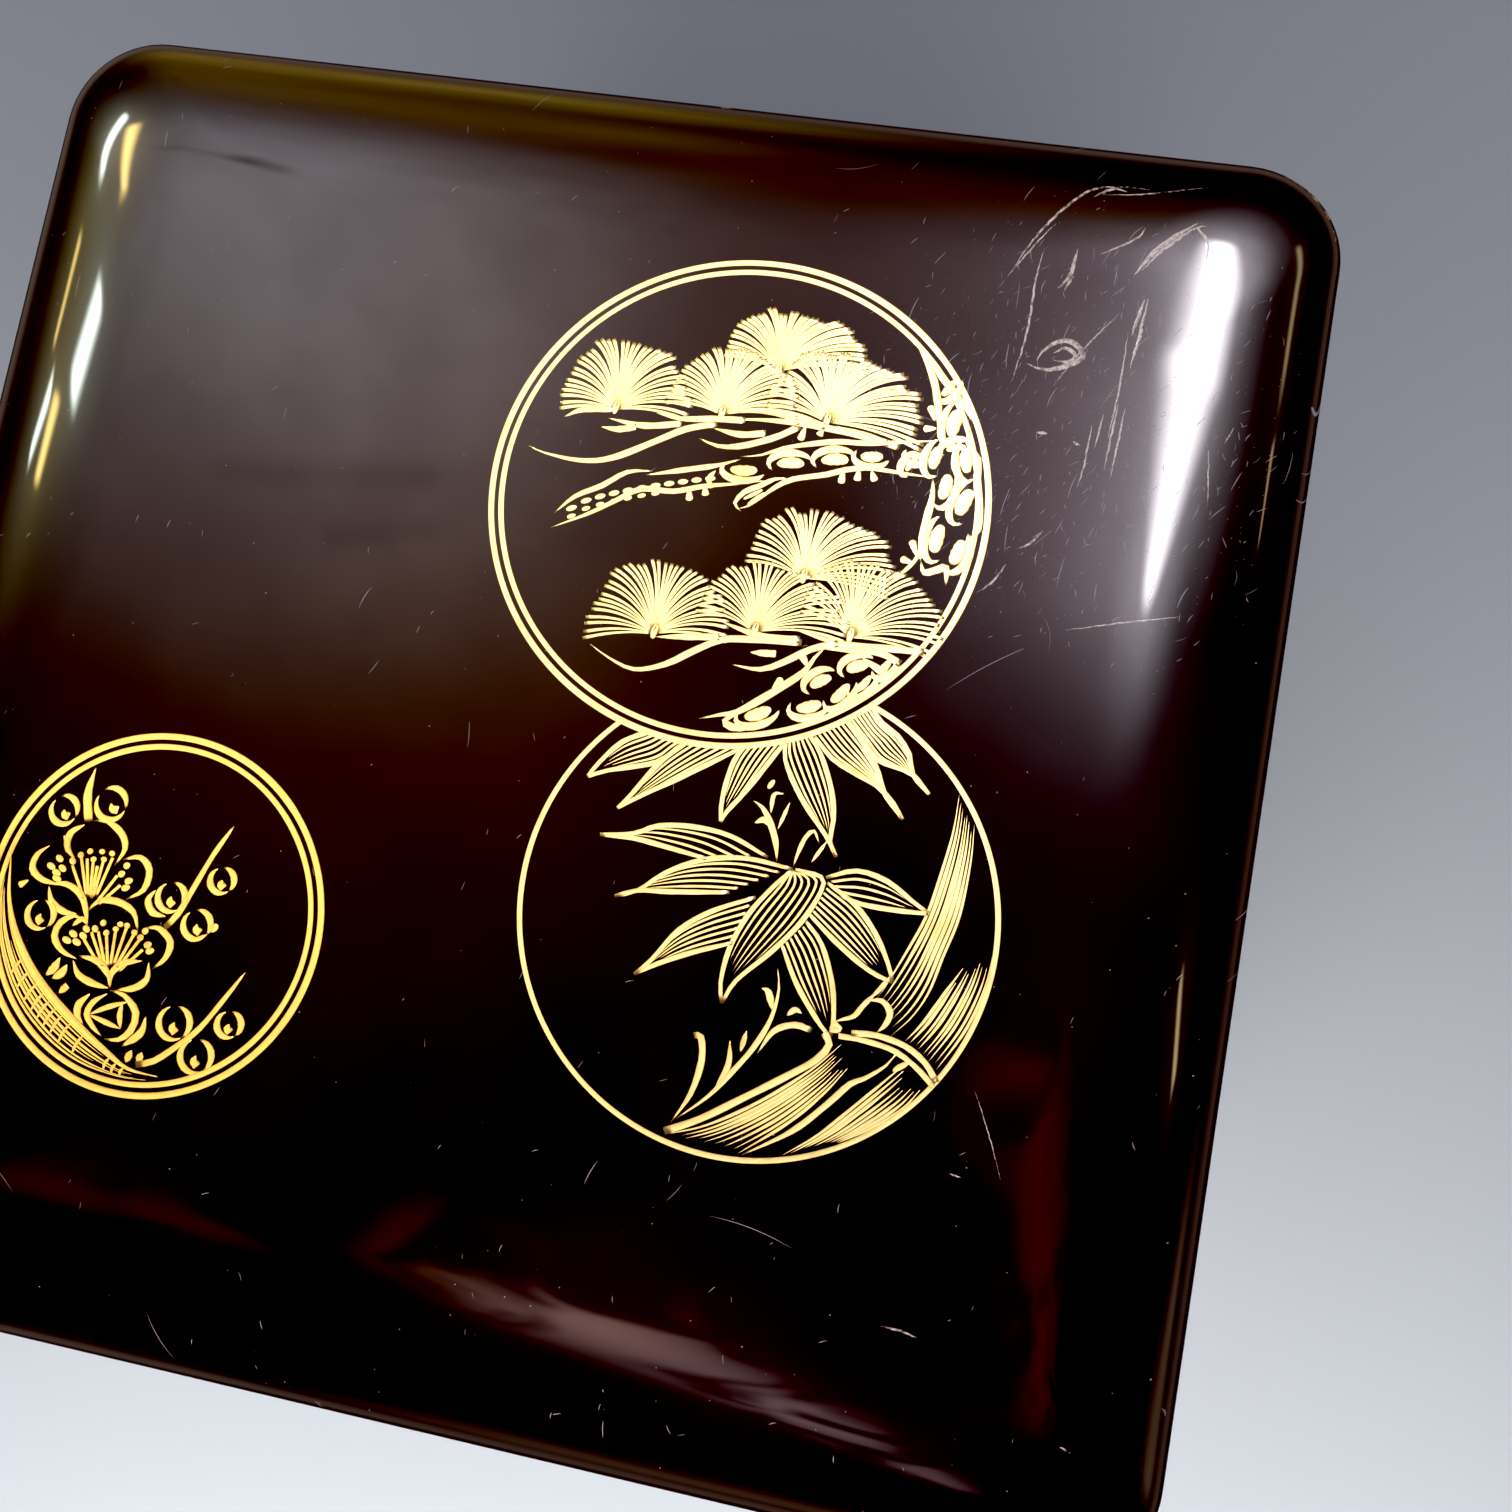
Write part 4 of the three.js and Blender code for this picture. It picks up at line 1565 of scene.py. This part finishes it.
petals = [
    [(-0.45, 0.44), (-0.37, 0.45), (-0.27, 0.40), (-0.23, 0.32), (-0.27, 0.22)],
    [(-0.50, 0.41), (-0.57, 0.35), (-0.57, 0.27), (-0.51, 0.21)],
    [(-0.61, 0.33), (-0.58, 0.30), (-0.57, 0.24)],
    [(-0.68, 0.26), (-0.74, 0.20), (-0.75, 0.12), (-0.68, 0.07), (-0.57, 0.06)],
    [(-0.23, 0.26), (-0.13, 0.29), (-0.06, 0.23), (-0.07, 0.12), (-0.16, 0.05)],
    [(-0.63, 0.05), (-0.53, 0.07), (-0.43, 0.03), (-0.38, -0.05), (-0.35, -0.14)],
    [(-0.63, 0.04), (-0.59, -0.04), (-0.51, -0.08), (-0.43, -0.08)],
    [(-0.37, -0.06), (-0.32, 0.01), (-0.21, 0.03), (-0.10, -0.01), (-0.05, -0.11)],
    [(-0.39, -0.11), (-0.44, -0.09), (-0.51, -0.14), (-0.53, -0.22), (-0.47, -0.29), (-0.37, -0.32)],
    [(-0.01, -0.08), (0.07, -0.07), (0.15, -0.13), (0.14, -0.22), (0.08, -0.29)],
    [(-0.39, -0.33), (-0.34, -0.40), (-0.25, -0.43), (-0.15, -0.44)],
    [(-0.36, -0.30), (-0.24, -0.31), (-0.16, -0.38), (-0.15, -0.44)],
    [(-0.14, -0.44), (-0.15, -0.36), (-0.09, -0.29), (0.01, -0.26)],
    [(0.05, -0.26), (0.06, -0.35), (0.0, -0.41), (-0.10, -0.44)],
]
for points in petals:
    plum.line(points, 1.05, crescent)

upper_heart = (-0.36, -0.06)
upper_tips = [
    (-0.52, 0.18), (-0.48, 0.24), (-0.44, 0.23), (-0.40, 0.22), (-0.34, 0.24), (-0.29, 0.26), (-0.24, 0.17),
    (-0.21, 0.12), (-0.37, 0.20),
]
upper_heads = [
    (-0.64, 0.15), (-0.60, 0.20), (-0.57, 0.15), (-0.60, 0.12), (-0.59, 0.09), (-0.52, 0.20), (-0.48, 0.24),
    (-0.43, 0.27), (-0.40, 0.23), (-0.36, 0.28), (-0.34, 0.24), (-0.30, 0.28), (-0.20, 0.23), (-0.22, 0.18),
    (-0.17, 0.15), (-0.18, 0.11),
]
lower_heart = (-0.16, -0.40)
lower_tips = [
    (-0.36, -0.20), (-0.32, -0.16), (-0.28, -0.15), (-0.23, -0.15), (-0.18, -0.12), (-0.12, -0.10),
    (-0.07, -0.13), (-0.03, -0.15), (0.0, -0.20),
]
lower_heads = [
    (-0.45, -0.23), (-0.39, -0.23), (-0.42, -0.19), (-0.36, -0.19), (-0.35, -0.15), (-0.30, -0.14),
    (-0.26, -0.10), (-0.23, -0.15), (-0.18, -0.12), (-0.16, -0.09), (-0.12, -0.09), (-0.07, -0.12),
    (-0.01, -0.10), (-0.03, -0.14), (0.02, -0.17), (0.04, -0.20),
]
blossoms = ((upper_heart, upper_tips, upper_heads), (lower_heart, lower_tips, lower_heads))
for heart, tips, heads in blossoms:
    stamens(plum, heart, tips)
    stamen_heads(plum, heart, heads)

# %% [markdown]
# ### The round form, twigs and small leaves
#
# Below the blossoms sits a small round form with a few strokes inside. The long twigs are a single stroke
# each, as young plum wood is straight and stiff.

# %% Plum: the round form, twigs and small leaves
plum_strokes = [
    ([(-0.14, -0.45), (-0.05, -0.46), (0.04, -0.54), (0.03, -0.64), (-0.03, -0.70),
      (-0.11, -0.71)], 1.10, crescent),
    ([(-0.15, -0.47), (-0.22, -0.53), (-0.24, -0.60), (-0.19, -0.66), (-0.13, -0.70)], 0.95, crescent),
    ([(-0.25, -0.49), (-0.30, -0.56), (-0.29, -0.62), (-0.25, -0.66)], 1.15, crescent),
    ([(0.10, -0.55), (0.09, -0.64), (0.0, -0.73)], 1.15, crescent),
    ([(-0.23, -0.60), (-0.13, -0.54), (-0.02, -0.49)], 0.75, both_pointed),
    ([(-0.05, -0.50), (-0.05, -0.57), (-0.03, -0.64)], 0.85, crescent),
    ([(-0.23, -0.60), (-0.13, -0.62), (-0.03, -0.64)], 0.75, both_pointed),
    ([(-0.48, 0.43), (-0.52, 0.58), (-0.51, 0.73)], 1.30, pointed),
    ([(0.10, -0.06), (0.16, 0.03), (0.22, 0.19), (0.29, 0.38), (0.37, 0.55)], 0.95, blunt),
    ([(0.10, -0.81), (0.20, -0.77), (0.32, -0.66), (0.42, -0.55), (0.53, -0.36),
      (0.61, -0.21)], 0.95, blunt),
    ([(-0.76, 0.05), (-0.81, 0.01)], 1.10, drop),
    ([(-0.47, -0.33), (-0.49, -0.39), (-0.53, -0.44)], 1.20, both_pointed),
    ([(-0.42, -0.36), (-0.44, -0.41), (-0.49, -0.45)], 1.20, both_pointed),
    ([(-0.39, -0.47), (-0.43, -0.52)], 1.00, pointed),
    ([(0.06, -0.74), (0.04, -0.81)], 1.05, both_pointed),
    ([(0.12, -0.74), (0.11, -0.80)], 1.05, both_pointed),
    ([(0.36, -0.03), (0.40, 0.01)], 1.10, lens),
    ([(0.0, 0.13), (-0.03, 0.07), (0.01, 0.01), (0.09, 0.0)], 1.10, crescent),
    ([(0.26, -0.10), (0.31, -0.08), (0.35, -0.05)], 0.60, both_pointed),
    ([(-0.44, -0.15), (-0.39, -0.10), (-0.35, -0.13)], 0.80, crescent),
]
for points, width, shape in plum_strokes:
    plum.line(points, width, shape)

# %% [markdown]
# ### The trunk
#
# Its two edges follow the ring and run together at both ends. The band between them is hatched like the
# bamboo's stalks. Then patches of short strokes cross it, which is how an engraver rounds a trunk.

# %% Plum: trunk
trunk_inner = [(-0.90, 0.18), (-0.84, -0.09), (-0.70, -0.33), (-0.51, -0.51), (-0.29, -0.66),
               (-0.07, -0.78), (0.06, -0.84), (0.24, -0.85)]
trunk_outer = [(-0.91, 0.15), (-0.90, -0.08), (-0.83, -0.33), (-0.68, -0.57), (-0.48, -0.74),
               (-0.25, -0.85), (0.00, -0.89), (0.18, -0.88)]
plum.line(trunk_inner, 1.10, both_pointed)
hatched_band(
    plum, trunk_inner, trunk_outer,
    lines=8, ragged_start=0.30, ragged_end=0.30, width_mm=0.40,
)


def crossing_stroke(roundel, edge_a, edge_b, along):
    """A short stroke across a band, at a share of its length, that curves a little forward."""
    edge_a = roundel.spots(edge_a)
    edge_b = roundel.spots(edge_b)
    crossing = []
    for share in (0.1, 0.5, 0.95):
        at = along + 0.03 * share ** 2
        crossing.append(between(edge_a, edge_b, share, at, at, 1)[0])
    roundel.engrave(smooth_line(crossing), 0.50, both_pointed)


# Each patch of strokes: where it starts and ends along the trunk, and how many strokes it has.
patches = [(0.36, 0.46, 3), (0.50, 0.60, 4), (0.64, 0.70, 2), (0.82, 0.88, 3)]
for first, last, count in patches:
    for along in np.linspace(first, last, count):
        crossing_stroke(plum, trunk_inner, trunk_outer, along)
print("plum lines:", len(plum.lines))


# %% [markdown]
# ## From lines to metal
#
# Every line becomes a closed ribbon with five corners in its section: a bank on each side, the bed between
# them, and two corners sunk just under the lacquer. The mesh also keeps how far each point is from the bed,
# so that the gold's colour can darken towards the banks: painted shade for a groove's sloping sides.

# %% Ribbons on the lid
layer_height = 0.002 * MM
crossing_height = 0.0006 * MM  # tells neighbouring lines apart in height, so that none lie in one plane
sunk = 0.02 * MM
section_sides = (-1, 0, 1, 1, -1)
corners_in_section = len(section_sides)
bed_corner = section_sides.index(0)


def ribbon_mesh(roundel, material, bed_height, bank_share):
    """One mesh of all the roundel's lines. The banks rise above the bed by a share of a line's width."""
    points = []
    across = []
    faces = []
    for number, (path, widths, layer) in enumerate(roundel.lines):
        ahead = np.gradient(path, axis=0)
        if np.array_equal(path[0], path[-1]):
            ahead[0] = ahead[-1] = path[1] - path[-2]
        ahead /= np.maximum(np.linalg.norm(ahead, axis=1), 1e-9)[:, None]
        aside = np.stack([-ahead[:, 1], ahead[:, 0]], 1)
        lift = bed_height + layer_height * layer + crossing_height * (number % 4)
        bank = lift + widths * bank_share
        bed = np.full(len(path), lift)
        under = np.full(len(path), -sunk)
        heights = (bank, bed, bank, under, under)
        start = sum(len(p) for p in points)
        ring = []
        for side, height in zip(section_sides, heights):
            flat = path + aside * (widths * side / 2)[:, None]
            ring.append(np.column_stack([flat, lid_top(flat[:, 0], flat[:, 1]) + height]))
        points.append(np.stack(ring, 1).reshape(-1, 3))
        across.append(np.tile(np.abs(section_sides), len(path)))
        n = corners_in_section
        closed = np.array_equal(path[0], path[-1])
        sections = len(path) - 1
        for i in range(sections):
            a = start + i * n
            b = start if closed and i == sections - 1 else a + n
            faces += [(a + k, b + k, b + (k + 1) % n, a + (k + 1) % n) for k in range(n)]
        if not closed:
            faces.append(tuple(start + k for k in range(n)))
            last = start + sections * n
            faces.append(tuple(last + k for k in reversed(range(n))))
    mesh = bpy.data.meshes.new(roundel.name)
    mesh.from_pydata(np.vstack(points).tolist(), [], faces)
    mesh.materials.append(material)
    values = np.concatenate(across).astype(np.float32)
    mesh.attributes.new("across", "FLOAT", "POINT").data.foreach_set("value", values)
    mesh.shade_smooth()
    ends = np.empty(len(mesh.edges) * 2, int)
    mesh.edges.foreach_get("vertices", ends)
    corner = ends.reshape(-1, 2) % corners_in_section
    keen = (corner[:, 0] == corner[:, 1]) & (corner[:, 0] != bed_corner)
    mesh.attributes.new("sharp_edge", "BOOLEAN", "EDGE").data.foreach_set("value", keen)
    mesh.update()
    piece = bpy.data.objects.new(roundel.name, mesh)
    bpy.context.scene.collection.objects.link(piece)
    print(roundel.name, "has", len(roundel.lines), "lines and", len(mesh.polygons), "faces")
    return piece


# %% [markdown]
# ### Gold
#
# Leaf rubbed into a groove is bright but never mirror-smooth. Its metal stays metal everywhere; what varies
# is colour and roughness. The colour runs from pale in the bed to brown at the banks, which is painted shade
# for the groove's sides, and it also turns brown where the gold lies thin. The roughness has a fine grain.

# %% Gold material
def build_gold(name, bright, thin_gold_and_bank_shade):
    material, shader, w, place = new_finish(name)
    across = w.add("ShaderNodeAttribute", attribute_name="across").outputs["Fac"]
    grain = use_group(w, smears, place, size=0.0006, low=0.30, high=0.75, seed=6.0)
    thin = use_group(w, smears, place, size=0.008, low=0.52, high=0.85, seed=8.0)
    # Painted shade: towards the banks the gold's colour darkens to the brown, for the shaded sides of a
    # groove. The same brown also shows where the gold lies thin.
    bank_shade = w.fade(across, 0.72, 1.0)
    colour = w.blend(w.math("MULTIPLY", bank_shade, 0.75), bright, thin_gold_and_bank_shade)
    colour = w.blend(w.math("MULTIPLY", thin, 0.50), colour, thin_gold_and_bank_shade)
    bump = w.add("ShaderNodeBump", {"Height": grain, "Strength": 0.35, "Distance": 0.00005})
    w.feed(shader.inputs["Base Color"], colour)
    w.feed(shader.inputs["Roughness"], w.math("MULTIPLY_ADD", grain, 0.16, 0.36))
    w.feed(shader.inputs["Normal"], bump.outputs[0])
    shader.inputs["Metallic"].default_value = 1.0
    return material


pale_gold = build_gold("pale_gold", bright=(1.0, 0.84, 0.42, 1), thin_gold_and_bank_shade=(0.46, 0.22, 0.02, 1))
deep_gold = build_gold("deep_gold", bright=(1.0, 0.68, 0.20, 1), thin_gold_and_bank_shade=(0.34, 0.15, 0.02, 1))
gold_bed = 0.012 * MM
gold_banks = 0.05
inlays = []
for roundel, gold in ((pine, pale_gold), (bamboo, pale_gold), (plum, deep_gold)):
    inlays.append(ribbon_mesh(roundel, gold, gold_bed, gold_banks))

# %% [markdown]
# ## Long scratches and chips
#
# Most scratches can stay in the shader, because nobody would miss one. The few long ones, most of them on
# the right shoulder, have a place and a shape of their own. So they are laid on the lid as hair-thin
# ribbons, with the same tool as the gold. So are the chips along the far edge and its corner, where the
# pale ground shows.

# %% Scratches and chips
def lay_marks(name, seed, strokes, spacing, wobble):
    """Lines on the lid, in millimetres from its middle. Chance moves each point by about the wobble."""
    laid = Roundel(name, (0, 0), 1.0, seed)
    for points, width in strokes:
        path = smooth_line(np.array(points) * MM, spacing)
        astray = np.array([[laid.chance.gauss(0, wobble), laid.chance.gauss(0, wobble)] for _ in path])
        widths = width * MM * both_pointed(np.linspace(0, 1, len(path)))
        laid.lines.append((path + astray * MM, widths, 0))
    return laid


# Each mark: its points and its width, both in mm.
long_scratches = [
    ([(52, 73.5), (54, 78), (57, 83), (61, 87.5), (65, 88.7), (69, 88.8)], 0.34),
    ([(51.5, 72.5), (55, 78.5), (57, 81.5)], 0.20),
    ([(61.5, 86.5), (64, 88.2), (66, 88)], 0.40),
    ([(62.5, 87), (68.5, 88), (77, 90.5)], 0.18),
    ([(63.5, 77.5), (68, 80.5), (69.5, 83)], 0.28),
    ([(68.5, 75), (70.5, 78.5), (73, 81.5), (76.5, 84.5)], 0.65),
    ([(69.5, 76), (72, 79.5), (76, 83.5), (77.5, 84)], 0.40),
    ([(75.5, 84), (77.5, 82), (78, 79)], 0.45),
    ([(54.5, 57.5), (55.5, 65), (55.5, 73), (56, 77.5)], 0.28),
    ([(58.5, 71.5), (60, 74), (60.5, 78)], 0.50),
    ([(59.5, 71.5), (60.5, 74)], 0.30),
    ([(60, 57.5), (63, 63), (67.5, 69.5)], 0.18),
    ([(56, 60.5), (59, 60), (62.5, 61.5), (63.5, 63), (61.5, 64.5), (59.5, 64), (58, 62.5),
      (57.5, 61)], 0.75),
    ([(59.5, 61.5), (61.5, 61.5), (62.5, 62.5), (61, 63.5), (59.5, 62.5)], 0.55),
    ([(59, 51), (60.5, 51)], 0.42),
    ([(64, 50.5), (65, 50)], 0.38),
    ([(71, 72.5), (70.5, 66), (70, 61.5)], 0.34),
    ([(70.5, 72), (69.5, 66.5)], 0.45),
    ([(71, 68), (70, 63)], 0.30),
    ([(69, 67), (69, 58.5), (68.5, 51.5)], 0.22),
    ([(69.2, 57), (68.7, 47)], 0.28),
    ([(70.2, 56.5), (69.7, 46)], 0.24),
    ([(67.5, 55), (67, 50)], 0.24),
    ([(66.2, 53.5), (66, 47.5), (65.5, 44)], 0.22),
    ([(59, 34.5), (60.5, 35.5), (62, 37.5)], 0.28),
    ([(54.5, 27.5), (56.5, 29.5), (58, 32.5)], 0.28),
    ([(82, 52.5), (83, 44.5)], 0.18),
    ([(84, 53.5), (85, 56)], 0.20),
    ([(67, 24.5), (75, 27), (82, 29)], 0.18),
    ([(65, -37), (68, -43), (70, -47.5)], 0.14),
    ([(58, -68.5), (60.5, -68.5), (63, -69)], 0.28),
    ([(63.5, -48), (65, -48.2)], 0.20),
    ([(82.5, -78.5), (84, -79)], 0.22),
]
chips = [
    ([(87.5, 95.9), (89.5, 95), (90.7, 94.3)], 0.35),
    ([(91, 94.1), (92.1, 93.1), (93.2, 91.9)], 0.50),
    ([(93.8, 91.3), (94.6, 90.1)], 0.75),
    ([(95.4, 88.5), (95.8, 87)], 0.35),
    ([(5, 96.2), (7.5, 96.2)], 0.35),
]
scratch_map = lay_marks("lid_scratches", 4, long_scratches, 0.5 * MM, 0.035)
chip_map = lay_marks("lid_chips", 5, chips, 0.4 * MM, 0.06)


def build_broken_mark(name, colour):
    """A finish for a mark that comes and goes: grains of pale ground with lacquer left between them."""
    material, shader, w, place = new_finish(name)
    grains = use_group(w, smears, place, size=0.0009, low=0.36, high=0.62, seed=17.0)
    w.feed(shader.inputs["Base Color"], w.blend(grains, lacquer_maroon, colour))
    w.feed(shader.inputs["Roughness"], w.math("MULTIPLY_ADD", grains, 0.30, 0.25))
    w.feed(shader.inputs["Coat Weight"], w.math("SUBTRACT", 1.0, grains))
    shader.inputs["Coat Roughness"].default_value = coat_blur
    return material


scratch_finish = build_broken_mark("scratch_grey", (0.62, 0.53, 0.56, 1))
chip_finish = build_broken_mark("chip_tan", (0.70, 0.42, 0.22, 1))
mark_bed = 0.004 * MM
mark_banks = 0.02
marks = []
for laid, finish in ((scratch_map, scratch_finish), (chip_map, chip_finish)):
    marks.append(ribbon_mesh(laid, finish, mark_bed, mark_banks))

# %% [markdown]
# ## Fastening everything to the frame
#
# The box has no joint, so every piece rides on the one body. The fine meshes stand for the plain solids.

# %% Bodies and replaced nodes
for name, piece in tiers.items():
    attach(piece, "root")
    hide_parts(name)
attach(lid, "root")
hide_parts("lid")
for piece in inlays:
    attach(piece, "root")
    raised_lines.objects.link(piece)
for piece in marks:
    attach(piece, "root")
    raised_lines.objects.link(piece)
